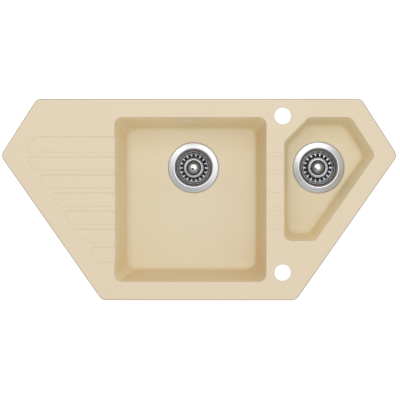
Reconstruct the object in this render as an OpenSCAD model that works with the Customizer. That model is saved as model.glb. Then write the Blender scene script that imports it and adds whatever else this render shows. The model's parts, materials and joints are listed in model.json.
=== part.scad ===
// Corner inset kitchen sink: a stone-composite casting with a drainer and one and a half bowls,
// its basket strainers, overflow, waste pipework, bottle trap and fixing clips.
// Millimetres. The origin is the centre of the rim's underside, +Z up, +Y towards the back edge.

/* [Deck] */
// Overall width over the rounded side corners
sink_w = 850; // [820:5:900]
// Overall depth from the back edge to the front edge
sink_d = 435; // [425:5:470]
// Distance from the back edge to the side corners
side_corner_y = 122.5; // [115:0.5:130]
// Angle between the back edge and the rear side edges
rear_angle = 57.3; // [54:0.1:60]
// Angle between the back edge and the front side edges
front_angle = 55; // [54:0.5:58]
// Plan radius of the six deck corners
corner_r = 18; // [10:1:26]
// Thickness of the deck
deck_t = 9; // [8:0.5:12]
// Radius of the deck's upper edge
edge_r = 2.5; // [1:0.5:4]
// Width of the flat border round the bowls and the drainer
border = 40.5; // [38:0.5:44]

/* [Main bowl] */
// Distance of the main bowl's mouth from the left side corner
main_from_left = 243.2; // [238:0.1:252]
// Depth of the main bowl below the deck
main_depth = 190; // [170:5:220]
// Radius between the main bowl's walls and floor
main_floor_r = 18; // [12:1:20]

/* [Half bowl] */
// Width of the bridge between the two bowls
bridge_w = 39.2; // [36:0.1:44]
// Distance of the half bowl's left edge from the right side corner
half_from_right = 240.6; // [239:0.1:248]
// Distance from the half bowl's rear wall to its front wall
half_len = 265.6; // [250:0.1:280]
// Leg of the corner cut off the half bowl behind the bridge
half_cut = 52.6; // [40:0.1:60]
// Depth of the half bowl below the deck
half_depth = 130; // [120:5:150]
// Radius between the half bowl's walls and floor
half_floor_r = 14; // [10:1:16]

/* [Bowl walls] */
// Thickness of the bowl walls and floors
wall_t = 8; // [6:0.5:10]
// Draft of the bowl walls from the vertical
draft = 5.2; // [3:0.1:6]
// Plan radius of the bowl corners at the mouth
bowl_corner_r = 15; // [10:1:20]
// Plan radius of the floor corners
floor_corner_r = 5; // [3:1:8]
// Radius of the edge between deck and bowl wall
lip_r = 2; // [1:0.5:3]

/* [Drainer and bridge] */
// Distance between the drainer's rear and front edges
drainer_len = 272.3; // [262:0.1:280]
// Number of shallow pans in the drainer
pan_count = 7; // [5:1:8]
// Width of the ribs between the pans
rib_w = 8.8; // [6:0.1:12]
// Depth of the pans below the deck
pan_depth = 1.4; // [0.8:0.1:2.5]
// Plan length of the slope round each pan
pan_slope = 1.6; // [0.8:0.1:3]
// Plan radius of the pans' outer corners
pan_corner_r = 5; // [3:0.5:8]
// Width of the chamfer where the pans run into the main bowl
spill_w = 4; // [2:0.5:6]
// Number of ribs on the bridge, counted from the back
bridge_ribs = 5; // [3:1:6]
// Height of the bridge ribs above the deck
bridge_rib_h = 0.8; // [0.5:0.1:1.2]
// Distance from the bridge rib ends to the bowl mouths
bridge_rib_end = 2.4; // [2:0.1:5]

/* [Tap holes] */
// Radius of the two tap holes
tap_hole_r = 17.5; // [16:0.5:18]
// Distance of both tap holes from the main bowl's mouth along X
tap_side = 35.8; // [33:0.1:39]
// Distance of the rear tap hole behind the centre
tap_rear_y = 180.5; // [178:0.5:183]
// Distance of the front tap hole before the centre
tap_front_y = 158; // [150:0.5:166]

/* [Strainers] */
// Distance of the main strainer from the middle of the main bowl's mouth along X
main_drain_shift = 4.3; // [-12:0.1:18]
// Distance of the half bowl's strainer from that bowl's left edge along X
half_drain_side = 81.6; // [78:0.1:83]
// Position of both strainers along Y
drain_y = 70; // [66:0.5:74]
// Radius of the drain hole through the bowl floor
drain_r = 45; // [44.5:0.1:45.5]
// Outer radius of the strainer flange
flange_r = 57; // [55:0.5:57]
// Drop of the flange from its crest to its outer edge
flange_drop = 1.8; // [1:0.1:2.6]
// Thickness of the strainer's sheet steel
steel_t = 1; // [0.8:0.1:1.2]
// Inner radius of the strainer cup at its throat
throat_r = 42; // [41:0.1:42.4]
// Inner depth of the strainer cup below the bowl floor
cup_depth = 40; // [38:0.5:44]
// Radius of the basket's rolled rim
basket_r = 38.2; // [36:0.1:38.6]
// Number of slots in the basket
slot_count = 18; // [12:1:20]
// Width of the basket slots
slot_w = 3.4; // [2:0.1:4]
// Radius of the dome on the basket's knob
knob_r = 18; // [16:0.1:18.4]
// Radius of the basket's stem
stem_r = 2.5; // [2:0.1:3]

/* [Waste bodies] */
// Extra thickness of the casting round the drain hole
seat_t = 4; // [3:0.5:6]
// Thickness of the gasket under the bowl
lower_gasket_t = 3; // [2:0.5:4]
// Outer radius of the waste body
waste_r = 49; // [48.6:0.1:51]
// Depth of the waste body's straight part below the bowl floor
waste_straight = 48; // [47:1:54]
// Height of the waste body's cone
waste_cone = 24; // [20:1:30]
// Length of the waste body's threaded outlet
waste_outlet = 30; // [28:1:40]
// Radius of the centre screw
screw_r = 3; // [2.5:0.1:3.2]

/* [Overflow] */
// Radius of the overflow hole in the main bowl's rear wall
overflow_r = 15; // [12:0.5:16]
// Width of the rounded-off edge of the overflow hole
overflow_lip = 3.5; // [2:0.5:4]
// Distance of the overflow from the middle of the main bowl's mouth along X
overflow_shift = -3.7; // [-20:0.1:8]
// Depth of the overflow's centre below the deck
overflow_depth = 57; // [52:1:70]
// Radius of the spigots that carry the overflow hose
spigot_r = 9.4; // [8.5:0.1:9.6]
// Number of ribs on the overflow hose
hose_ribs = 44; // [30:1:50]

/* [Pipework] */
// Outer radius of the waste pipes
pipe_r = 20; // [19:0.1:20.4]
// Wall thickness of the waste pipes
pipe_t = 2; // [1.5:0.1:2.5]
// Depth of the link pipe's axis below the main waste outlet
link_drop = 37; // [36:1:45]
// Radius of the link pipe's bend
bend_r = 45; // [40:1:48]
// Length of the trap body's wall
trap_h = 70; // [66:1:90]
// Outer radius of the trap body
trap_r = 34; // [32:0.5:38]
// Distance of the outlet pipe's end behind the centre
outlet_y = 215; // [190:1:215]

/* [Fixings] */
// Distance of the clip screws from the deck's edge
clip_inset = 22; // [21:0.5:23]
// Thickness of the worktop that the clips can grip
worktop_t = 38; // [30:1:40]
// Length of the clip arms
clip_len = 38; // [34:1:42]
// Width of the clip arms
clip_w = 14; // [12:0.5:15]
// Radius of the clip screws
clip_screw_r = 2.5; // [2:0.1:3]
// Distance of the sealing strip from the deck's edge
strip_inset = 6; // [5:0.5:7]
// Width of the sealing strip
strip_w = 5; // [4:0.5:6]

/* [Hidden] */
$fn = 72;

// Steps in each plan corner, each edge rounding and each floor rounding
arc_n = 8;
edge_n = 3;
floor_n = 5;
// Overlap of solids that are fused or cut through
eps = 1;
// Room left at the bottom of a pipe socket or hose end
end_gap = 1;
// Gap between faces that touch, between fitted pieces and between pieces that move apart
seat_gap = 0.05;
fit_gap = 0.1;
move_gap = 0.3;

function inward(a, b) = [a.y - b.y, b.x - a.x] / norm(b - a);
// Corner i of the anticlockwise loop p after its edges move inwards by e
function inset_corner(p, i, e) =
    let (m = len(p))
    let (n1 = inward(p[(i + m - 1) % m], p[i]))
    let (n2 = inward(p[i], p[(i + 1) % m]))
    p[i] + e * (n1 + n2) / (1 + n1 * n2);
// Loop p moved inwards by e, with its corners rounded to radius r
function ring(p, e, r) = [
    for (i = [0:len(p) - 1])
        let (m = len(p))
        let (n1 = inward(p[(i + m - 1) % m], p[i]))
        let (n2 = inward(p[i], p[(i + 1) % m]))
        let (c = inset_corner(p, i, e + r))
        let (from = atan2(-n1.y, -n1.x))
        let (turn = atan2(cross(n1, n2), n1 * n2))
        for (k = [0:arc_n]) c + r * [cos(from + turn * k / arc_n), sin(from + turn * k / arc_n)]
];
function at_z(points, z) = [for (q = points) [q.x, q.y, z]];
// Where the line through p with direction d has the given y
function x_at(p, d, y) = p.x + d.x * (y - p.y) / d.y;

// Sharp outline of the deck, anticlockwise from the right side corner
side_half = (rear_angle + front_angle) / 2;
side_x = sink_w / 2 + corner_r * (1 / sin(side_half) - 1);
back_y = sink_d / 2;
side_y = back_y - side_corner_y;
back_x = side_x - side_corner_y / tan(rear_angle);
front_x = side_x - (sink_d - side_corner_y) / tan(front_angle);
outline = [
    [side_x, side_y], [back_x, back_y], [-back_x, back_y],
    [-side_x, side_y], [-front_x, -back_y], [front_x, -back_y]
];
field = [for (i = [0:5]) inset_corner(outline, i, border)];

// Mouths of the two bowls
main_left = main_from_left - sink_w / 2;
half_left = sink_w / 2 - half_from_right;
main_right = half_left - bridge_w;
main_mid = (main_left + main_right) / 2;
bowl_back = back_y - border;
main_loop = [
    [main_right, -bowl_back], [main_right, bowl_back],
    [main_left, bowl_back], [main_left, -bowl_back]
];
half_front = bowl_back - half_len;
half_front_x = x_at(field[0], field[5] - field[0], half_front);
half_loop = [
    [half_front_x, half_front], field[0], field[1],
    [half_left + half_cut, bowl_back], [half_left, bowl_back - half_cut], [half_left, half_front]
];
main_floor = deck_t - main_depth;
half_floor = deck_t - half_depth;

// Places along X that follow the bowls
tap_x = main_right + tap_side;
main_drain_x = main_mid + main_drain_shift;
half_drain_x = half_left + half_drain_side;
overflow_x = main_mid + overflow_shift;

// Rings of a bowl from its floor to above the deck; grow is 0 for the hollow and wall_t for the shell
function bowl_rings(loop, floor_z, floor_r, grow) =
    let (centre_e = (deck_t - floor_z - floor_r * (1 - sin(draft))) * tan(draft) + floor_r * cos(draft))
    let (r_out = floor_r + grow)
    let (wall_r = floor_corner_r + floor_r * cos(draft) + grow)
    let (foot_e = centre_e - r_out * cos(draft))
    let (foot_z = floor_z + floor_r - r_out * sin(draft))
    concat(
        [
            for (k = [0:floor_n])
                let (a = (90 - draft) * k / floor_n)
                at_z(
                    ring(loop, centre_e - r_out * sin(a), wall_r - r_out * (cos(draft) - sin(a))),
                    floor_z + floor_r - r_out * cos(a)
                )
        ],
        grow > 0
            ? [at_z(ring(loop, foot_e - (eps - foot_z) * tan(draft), bowl_corner_r + grow), eps)]
            : concat(
                [
                    for (k = [0:edge_n])
                        let (a = 90 * k / edge_n)
                        at_z(
                            ring(loop, -lip_r * (1 - cos(a)) + lip_r * tan(draft) * (1 - sin(a)),
                                bowl_corner_r + lip_r * (1 - cos(a))),
                            deck_t - lip_r * (1 - sin(a))
                        )
                ],
                [at_z(ring(loop, -lip_r, bowl_corner_r + lip_r), deck_t + bridge_rib_h + eps)]
            )
    );

// Closed solid through convex rings of equal counts, lowest first
module loft(rings) {
    m = len(rings[0]);
    top = (len(rings) - 1) * m;
    polyhedron(
        points = [for (r = rings) each r],
        faces = concat(
            [for (i = [1:m - 2]) [0, i, i + 1]],
            [for (i = [1:m - 2]) [top, top + i + 1, top + i]],
            [
                for (k = [0:len(rings) - 2], i = [0:m - 1])
                    let (a = k * m + i)
                    let (b = k * m + (i + 1) % m)
                    each [[a, a + m, b + m], [a, b + m, b]]
            ]
        )
    );
}

module tube(r_out, r_in, h) {
    difference() {
        cylinder(r = r_out, h = h);
        translate([0, 0, -eps]) cylinder(r = r_in, h = h + 2 * eps);
    }
}

// Turns what points along +Z to point along +Y or +X
module along_y() {
    rotate([-90, 0, 0]) children();
}
module along_x() {
    rotate([0, 90, 0]) children();
}

// Drainer

pan_pitch = drainer_len / pan_count;
drainer_back = drainer_len / 2;
// Rear and front edges of pan k, counted from the back
function pan_back(k) = drainer_back - k * pan_pitch - (k > 0 ? rib_w / 2 : 0);
function pan_front(k) = drainer_back - (k + 1) * pan_pitch + (k < pan_count - 1 ? rib_w / 2 : 0);
// Left end of the drainer at a given y
function drainer_left(y) =
    y > side_y ? x_at(field[3], field[2] - field[3], y) : x_at(field[3], field[4] - field[3], y);
function pan_loop(k) =
    let (b = pan_back(k))
    let (f = pan_front(k))
    let (bend = b > side_y && f < side_y ? [[field[3].x, side_y]] : [])
    concat(
        [[main_left + eps, f], [main_left + eps, b], [drainer_left(b), b]],
        bend,
        [[drainer_left(f), f]]
    );

module pan(k) {
    loft([
        at_z(ring(pan_loop(k), pan_slope, pan_corner_r), deck_t - pan_depth),
        at_z(ring(pan_loop(k), 0, pan_corner_r), deck_t),
        at_z(ring(pan_loop(k), 0, pan_corner_r), deck_t + eps)
    ]);
    translate([main_left - spill_w - pan_slope, pan_front(k) + pan_slope, deck_t - pan_depth])
        cube([spill_w + pan_slope + lip_r, pan_back(k) - pan_front(k) - 2 * pan_slope, pan_depth + eps]);
}

// Chamfer along the main bowl's left edge, where the pans spill into it
module spill_edge() {
    translate([0, drainer_back - pan_slope, 0])
        rotate([90, 0, 0])
            linear_extrude(drainer_len - 2 * pan_slope)
                polygon([
                    [main_left - spill_w, deck_t - pan_depth],
                    [main_left + spill_w, deck_t - pan_depth],
                    [main_left + spill_w, deck_t - pan_depth - 2 * spill_w]
                ]);
}

module bridge_rib(k) {
    y = drainer_back - (k + 1) * pan_pitch;
    x0 = main_right + bridge_rib_end;
    x1 = half_left - bridge_rib_end;
    loop = [[x1, y - rib_w / 2], [x1, y + rib_w / 2], [x0, y + rib_w / 2], [x0, y - rib_w / 2]];
    loft([
        at_z(ring(loop, 0, rib_w / 4), deck_t - eps),
        at_z(ring(loop, 0, rib_w / 4), deck_t),
        at_z(ring(loop, bridge_rib_h, rib_w / 4), deck_t + bridge_rib_h)
    ]);
}

// Strainer seats and overflow seat of the casting

// The flange's crest lies round its throat, just proud of the bowl floor
crest_r = throat_r + 4.5;
crest_z = 0.2;
function flange_z(r) = crest_z - (r - crest_r) * flange_drop / (flange_r - crest_r);
gasket_t = 1;
seat_r = flange_r + 1.2;
seat_drop = steel_t + gasket_t + 2 * seat_gap;

module drain_cut(x, floor_z) {
    translate([x, drain_y, floor_z]) {
        translate([0, 0, -wall_t - seat_t - eps]) cylinder(r = drain_r, h = wall_t + seat_t + 2 * eps);
        rotate_extrude()
            polygon([
                [0, eps], [seat_r, eps], [seat_r, flange_z(seat_r) - seat_drop],
                [crest_r, flange_z(crest_r) - seat_drop], [0, flange_z(crest_r) - seat_drop]
            ]);
    }
}

seat_boss_r = 62;
module drain_boss(x, floor_z) {
    translate([x, drain_y, floor_z - wall_t - seat_t]) cylinder(r = seat_boss_r, h = wall_t);
}

overflow_z = deck_t - overflow_depth;
overflow_wall_y = bowl_back - overflow_depth * tan(draft);
overflow_pad_w = 13;
overflow_pad_r = overflow_r + overflow_pad_w;
overflow_pad_y = bowl_back + wall_t - (overflow_depth - overflow_pad_r) * tan(draft) + 2;

module overflow_cut() {
    translate([overflow_x, overflow_wall_y, overflow_z]) {
        translate([0, -overflow_r, 0]) along_y() cylinder(r = overflow_r, h = overflow_pad_y);
        translate([0, -eps * 2, 0])
            along_y() cylinder(r1 = overflow_r + overflow_lip + 2 * eps, r2 = overflow_r, h = overflow_lip + 2 * eps);
    }
}

screw_pitch = overflow_r + 4.5;
module at_overflow_screws() {
    for (side = [-1, 1])
        translate([overflow_x + side * screw_pitch, 0, overflow_z]) children();
}

// Clip places: the start and end of an edge of the deck, the distance along it, and the way its arm
// lies at rest, 1 for anticlockwise along the edge and -1 for clockwise
function clip_place(edge, along) =
    let (a = outline[edge])
    let (b = outline[(edge + 1) % 6])
    a + (b - a) * along + inward(a, b) * clip_inset;
function clip_turn(edge) =
    let (d = outline[(edge + 1) % 6] - outline[edge])
    atan2(d.y, d.x);
CLIPS = [
    [1, 0.828, 1], [1, 0.172, -1], [4, 0.2, 1], [4, 0.8, -1],
    [2, 0.5, 1], [0, 0.5, -1], [3, 0.5, 1], [5, 0.5, -1]
];
clip_boss_r = 8.5;
clip_boss_h = 14;
insert_r = 4;
insert_h = 12;
module at_clip(i) {
    translate(clip_place(CLIPS[i][0], CLIPS[i][1])) children();
}

groove_t = 2.2;
module sink_body() {
    color("wheat")
        difference() {
            union() {
                linear_extrude(deck_t - edge_r) polygon(ring(outline, 0, corner_r));
                loft([
                    for (k = [0:edge_n])
                        let (a = 90 * k / edge_n)
                        let (e = edge_r * (1 - cos(a)))
                        at_z(ring(outline, e, corner_r - e), deck_t - edge_r * (1 - sin(a)))
                ]);
                loft(bowl_rings(main_loop, main_floor, main_floor_r, wall_t));
                loft(bowl_rings(half_loop, half_floor, half_floor_r, wall_t));
                drain_boss(main_drain_x, main_floor);
                drain_boss(half_drain_x, half_floor);
                translate([overflow_x, overflow_wall_y + wall_t / 2, overflow_z])
                    along_y() cylinder(r = overflow_pad_r, h = overflow_pad_y - overflow_wall_y - wall_t / 2);
                for (i = [0:len(CLIPS) - 1])
                    at_clip(i) translate([0, 0, -clip_boss_h]) cylinder(r = clip_boss_r, h = clip_boss_h + eps);
                for (k = [0:bridge_ribs - 1])
                    bridge_rib(k);
            }
            loft(bowl_rings(main_loop, main_floor, main_floor_r, 0));
            loft(bowl_rings(half_loop, half_floor, half_floor_r, 0));
            drain_cut(main_drain_x, main_floor);
            drain_cut(half_drain_x, half_floor);
            overflow_cut();
            at_overflow_screws()
                translate([0, overflow_pad_y - overflow_thread, 0])
                    along_y() cylinder(r = overflow_screw_r + seat_gap, h = overflow_thread + eps);
            for (k = [0:pan_count - 1])
                pan(k);
            spill_edge();
            for (y = [tap_rear_y, -tap_front_y])
                translate([tap_x, y, -eps]) cylinder(r = tap_hole_r, h = deck_t + 2 * eps);
            for (i = [0:len(CLIPS) - 1])
                at_clip(i)
                    translate([0, 0, -clip_boss_h - eps])
                        cylinder(r = insert_r + seat_gap, h = insert_h + move_gap + eps);
            translate([0, 0, -eps])
                linear_extrude(groove_t + eps)
                    difference() {
                        polygon(ring(outline, strip_inset, corner_r - strip_inset));
                        polygon(ring(outline, strip_inset + strip_w, corner_r - strip_inset));
                    }
        }
}

module rim_seal() {
    color("dimgray")
        translate([0, 0, fit_gap])
            linear_extrude(groove_t - 2 * fit_gap)
                difference() {
                    polygon(ring(outline, strip_inset + fit_gap, corner_r - strip_inset));
                    polygon(ring(outline, strip_inset + strip_w - fit_gap, corner_r - strip_inset));
                }
}

// Strainers, drawn with the bowl floor at z = 0

cup_foot_r = throat_r - 8;
cup_foot = [cup_foot_r, -cup_depth];
cup_heel = [throat_r - 4, 3.5 - cup_depth];
cup_hole_r = 5.5;
cup_holes = 6;
// The cup's section from the flange's edge to its foot, moved outwards by t
function cup_line(t) = [
    [flange_r, flange_z(flange_r) - t], [crest_r, crest_z - t],
    [throat_r + 2.6 + 0.3 * t, crest_z - 0.3 - 0.95 * t], [throat_r + 1.1 + 0.7 * t, crest_z - 1.4 - 0.7 * t],
    [throat_r + 0.3 + 0.95 * t, crest_z - 3 - 0.3 * t], [throat_r + t, -6.5],
    [throat_r - 2 + t, 9 - cup_depth], cup_heel + t * [0.8, -0.6], cup_foot - [0, t]
];
module strainer_cup() {
    upper = cup_line(0);
    lower = cup_line(steel_t);
    difference() {
        rotate_extrude()
            polygon(concat(
                upper,
                [[0, -cup_depth], [0, -cup_depth - steel_t]],
                [for (i = [len(lower) - 1:-1:0]) lower[i]]
            ));
        translate([0, 0, -cup_depth - 2 * eps]) cylinder(r = screw_r + fit_gap, h = 4 * eps);
        for (k = [0:cup_holes - 1])
            rotate(k * 360 / cup_holes)
                translate([cup_foot_r / 2 + 2, 0, -cup_depth - 2 * eps]) cylinder(r = cup_hole_r, h = 4 * eps);
    }
}

module flange_gasket() {
    z = -steel_t - seat_gap;
    inner = crest_r + 0.2;
    outer = flange_r - 0.5;
    rotate_extrude()
        polygon([
            [inner, flange_z(inner) + z], [outer, flange_z(outer) + z],
            [outer, flange_z(outer) + z - gasket_t], [inner, flange_z(inner) + z - gasket_t]
        ]);
}

socket_h = 8;
socket_floor = 2;
screw_head_r = 6;
module centre_screw() {
    translate([0, 0, -cup_depth])
        difference() {
            union() {
                cylinder(r = screw_head_r, h = socket_h);
                translate([0, 0, -screw_reach]) cylinder(r = screw_r, h = screw_reach + eps);
            }
            translate([0, 0, socket_floor]) cylinder(r = stem_r + fit_gap, h = socket_h);
        }
}

// Basket, seated in its cup

basket_raise = 6;
basket_h = 22;
wall_slot_z = 6;
wall_slot_h = 11;
basket_floor = basket_raise - cup_depth;
basket_rim = basket_floor + basket_h;
basket_t = 0.8;
basket_bead_r = 1;
hub_r = 22;
hub_h = 9;
slot_in = 25.2;
slot_out = 32;
basket_foot_r = 34;
function basket_bead(a) = [basket_r - basket_bead_r, basket_rim] + basket_bead_r * [cos(a), sin(a)];
module basket() {
    difference() {
        rotate_extrude()
            polygon(concat(
                [
                    [stem_r + fit_gap, basket_floor + hub_h], [hub_r - 1.2, basket_floor + hub_h],
                    [hub_r, basket_floor + hub_h - 1], [hub_r + 1, basket_floor + 1.2],
                    [hub_r + 2.2, basket_floor], [basket_foot_r - 1, basket_floor],
                    [basket_foot_r, basket_floor + 1]
                ],
                [for (a = [246:-26:-66]) basket_bead(a)],
                [
                    [basket_foot_r + basket_t, basket_floor + 1],
                    [basket_foot_r - 0.6, basket_floor - basket_t], [hub_r + 1.8, basket_floor - basket_t],
                    [hub_r + 0.2, basket_floor + 1], [hub_r - 0.8, basket_floor + hub_h - 1.4],
                    [hub_r - 1.6, basket_floor + hub_h - basket_t],
                    [stem_r + fit_gap, basket_floor + hub_h - basket_t]
                ]
            ));
        for (k = [0:slot_count - 1])
            rotate(k * 360 / slot_count)
                translate([0, 0, basket_floor - eps]) {
                    translate([slot_in + slot_w / 2, -slot_w / 2, 0])
                        cube([slot_out - slot_in - slot_w, slot_w, 2 * eps]);
                    for (r = [slot_in + slot_w / 2, slot_out - slot_w / 2])
                        translate([r, 0, 0]) cylinder(r = slot_w / 2, h = 2 * eps);
                    translate([basket_foot_r - 1, -slot_w / 2, wall_slot_z + eps])
                        cube([basket_r - basket_foot_r + 2, slot_w, wall_slot_h]);
                }
    }
}

// Rubber ring round the basket's foot, a move_gap above the cup's sloping corner
seal_top = basket_floor + 3;
seal_gap = 0.1;
cup_slope = (cup_heel - cup_foot) / norm(cup_heel - cup_foot);
function seal_seat(d) = cup_foot + d * cup_slope + move_gap * [-cup_slope.y, cup_slope.x];
module basket_seal() {
    wall = (basket_r - 2 * basket_bead_r - basket_foot_r) / (basket_rim - basket_floor - 1);
    rotate_extrude()
        polygon([
            [basket_foot_r + basket_t + seal_gap, basket_floor + 1],
            [basket_foot_r + basket_t + seal_gap + 2 * wall, seal_top],
            [cup_heel.x - 0.8, seal_top], seal_seat(4.8), seal_seat(0.4),
            [cup_foot_r - 1.6, -cup_depth + move_gap + seal_gap],
            [basket_foot_r - 1.4, basket_floor - basket_t - seat_gap],
            [basket_foot_r - 0.5, basket_floor - basket_t - seat_gap]
        ]);
}

stem_top = basket_floor + hub_h + 5;
collar_r = 7;
module basket_stem() {
    translate([0, 0, move_gap + socket_floor - cup_depth])
        cylinder(r = stem_r, h = stem_top - move_gap - socket_floor + cup_depth);
    translate([0, 0, basket_floor + hub_h - basket_t - seat_gap - 2])
        cylinder(r = collar_r, h = 2);
}

// Domed knob on a dished foot
knob_h = 13;
knob_foot = 3;
module basket_knob() {
    z = basket_floor + hub_h + seat_gap;
    difference() {
        rotate_extrude()
            translate([0, z])
                polygon(concat(
                    [[0, 0], [knob_r + 2, 0], [knob_r + 2.4, 0.8], [knob_r + 2.2, 1.8]],
                    [[knob_r + 1.6, 2.4], [knob_r + 0.8, 2.4], [knob_r, 1.8]],
                    [
                        for (a = [0:10:90])
                            [knob_r * cos(a), knob_foot + (knob_h - knob_foot) * sin(a)]
                    ]
                ));
        translate([0, 0, z - eps]) cylinder(r = stem_r + fit_gap, h = stem_top - z + fit_gap + eps);
    }
}

// Waste bodies, drawn with the bowl floor at z = 0

waste_top = -wall_t - seat_t - lower_gasket_t;
waste_flange_r = waste_r + 5;
waste_flange_t = 4;
waste_wall = 3;
waste_end = -waste_straight - waste_cone - waste_outlet;
thread_r = pipe_r + 3.9;
outlet_bore_r = pipe_r + 0.5;
boss_r = 7;
boss_drop = 13;
boss_top = -cup_depth - boss_drop;
boss_h = 14;
screw_reach = 26;
spider_arms = 3;

module lower_gasket() {
    translate([0, 0, waste_top + seat_gap])
        tube(waste_flange_r - 1, drain_r + 0.3, lower_gasket_t - 2 * seat_gap);
}

module waste_body() {
    difference() {
        union() {
            difference() {
                rotate_extrude()
                    polygon([
                        [0, waste_top], [waste_flange_r, waste_top],
                        [waste_flange_r, waste_top - waste_flange_t],
                        [waste_r, waste_top - waste_flange_t], [waste_r, -waste_straight],
                        [thread_r + 2, -waste_straight - waste_cone],
                        [thread_r, -waste_straight - waste_cone], [thread_r, waste_end], [0, waste_end]
                    ]);
                rotate_extrude()
                    polygon([
                        [0, waste_top + eps], [waste_r - waste_wall, waste_top + eps],
                        [waste_r - waste_wall, -waste_straight],
                        [outlet_bore_r, waste_wall - waste_straight - waste_cone],
                        [outlet_bore_r, waste_end - eps], [0, waste_end - eps]
                    ]);
            }
            translate([0, 0, boss_top - boss_h]) cylinder(r = boss_r, h = boss_h);
            for (k = [0:spider_arms - 1])
                rotate(90 + k * 360 / spider_arms)
                    translate([0, -waste_wall / 2, boss_top - boss_h])
                        cube([outlet_bore_r + 7, waste_wall, boss_h - 2]);
        }
        translate([0, 0, boss_top - boss_h - eps]) cylinder(r = screw_r + seat_gap, h = boss_h + 2 * eps);
    }
}

// Side port of the main waste body, for the overflow hose
port_drop = 13;
port_z = waste_top - waste_flange_t - port_drop;
port_len = 30;
spigot_t = 1.9;
module waste_port() {
    translate([0, waste_r - waste_wall / 2, port_z])
        along_y() {
            cylinder(r = spigot_r, h = port_len + waste_wall / 2);
            cylinder(r = spigot_r + 2, h = 4);
        }
}
module main_waste() {
    difference() {
        union() {
            waste_body();
            waste_port();
        }
        translate([0, waste_r - 2 * waste_wall, port_z])
            along_y() cylinder(r = spigot_r - spigot_t, h = port_len + 4 * waste_wall);
    }
}

// Union nut with its lip at the top, drawn from z = 0 downwards, and the washer under its lip

nut_wall = 4.5;
nut_lip = 3;
nut_h = 25;
nut_grips = 10;
washer_t = 3;
collar_t = 3;
module union_nut(body_r, hole_r) {
    difference() {
        union() {
            translate([0, 0, -nut_h]) cylinder(r = body_r + nut_wall, h = nut_h);
            for (k = [0:nut_grips - 1])
                rotate(k * 360 / nut_grips)
                    translate([body_r + nut_wall - eps, -2, -nut_h + 2])
                        cube([eps + 1.5, 4, nut_h - 4]);
        }
        translate([0, 0, -nut_h - eps]) cylinder(r = body_r + fit_gap, h = nut_h - nut_lip + eps);
        translate([0, 0, -nut_lip - eps]) cylinder(r = hole_r + 2 * fit_gap, h = nut_lip + 2 * eps);
    }
}
module washer() {
    tube(thread_r - 0.3, pipe_r + fit_gap, washer_t - 2 * seat_gap);
}

// Heights of the pipework
main_end = main_floor + waste_end;
half_end = half_floor + waste_end;
link_z = main_end - link_drop;
tail_grip = washer_t + collar_t + nut_lip;

module at_main_tail() {
    translate([main_drain_x, drain_y, main_end]) children();
}
module at_half_tail() {
    translate([half_drain_x, drain_y, half_end]) children();
}
module tail_washer() {
    translate([0, 0, -washer_t + seat_gap]) tube(thread_r - 0.3, outlet_bore_r, washer_t - 2 * seat_gap);
}
module tail_nut() {
    translate([0, 0, -tail_grip - seat_gap]) mirror([0, 0, 1]) union_nut(thread_r, pipe_r);
}

// Tee under the main waste, with a socket for the link pipe and a capped spigot for an appliance

socket_r = pipe_r + 0.2;
socket_len = 22;
tee_reach = 60;
trap_drop = 38;
trap_mouth = link_z - trap_drop;
appliance_r = 11;
appliance_len = 46;
module tee() {
    color("white")
        translate([main_drain_x, drain_y, 0])
            difference() {
                union() {
                    translate([0, 0, main_end - washer_t - collar_t])
                        cylinder(r = thread_r - 0.4, h = collar_t);
                    translate([0, 0, trap_mouth - socket_len + end_gap])
                        cylinder(r = pipe_r, h = main_end - washer_t - trap_mouth + socket_len - end_gap);
                    translate([0, 0, link_z]) along_x() cylinder(r = thread_r, h = tee_reach);
                    translate([-appliance_len, 0, link_z]) along_x() cylinder(r = appliance_r, h = appliance_len);
                }
                translate([0, 0, trap_mouth - socket_len - eps])
                    cylinder(r = pipe_r - pipe_t, h = main_end - trap_mouth + socket_len);
                translate([0, 0, link_z]) along_x() cylinder(r = pipe_r - pipe_t, h = tee_reach + eps);
                translate([tee_reach - socket_len, 0, link_z]) along_x() cylinder(r = socket_r, h = socket_len + eps);
                translate([-appliance_len - eps, 0, link_z])
                    along_x() cylinder(r = appliance_r - pipe_t, h = appliance_len);
            }
}

tee_mouth = main_drain_x + tee_reach;
module link_washer() {
    color("dimgray") translate([tee_mouth + seat_gap, drain_y, link_z]) along_x() washer();
}
module link_nut() {
    color("white")
        translate([tee_mouth + washer_t + nut_lip, drain_y, link_z]) along_x() union_nut(thread_r, pipe_r);
}

module link_pipe() {
    color("white")
        translate([half_drain_x, drain_y, 0]) {
            difference() {
                union() {
                    translate([0, 0, half_end - washer_t - collar_t])
                        cylinder(r = thread_r - 0.4, h = collar_t);
                    translate([0, 0, link_z + bend_r])
                        cylinder(r = pipe_r, h = half_end - washer_t - link_z - bend_r);
                }
                translate([0, 0, link_z + bend_r - eps])
                    cylinder(r = pipe_r - pipe_t, h = half_end - link_z - bend_r + eps);
            }
            translate([-bend_r, 0, link_z + bend_r])
                rotate([-90, 0, 0])
                    rotate_extrude(angle = 90)
                        translate([bend_r, 0])
                            difference() {
                                circle(r = pipe_r);
                                circle(r = pipe_r - pipe_t);
                            }
            translate([tee_mouth - socket_len + end_gap - half_drain_x, 0, link_z])
                along_x()
                    tube(pipe_r, pipe_r - pipe_t, half_drain_x - bend_r - tee_mouth + socket_len - end_gap);
        }
}

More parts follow.
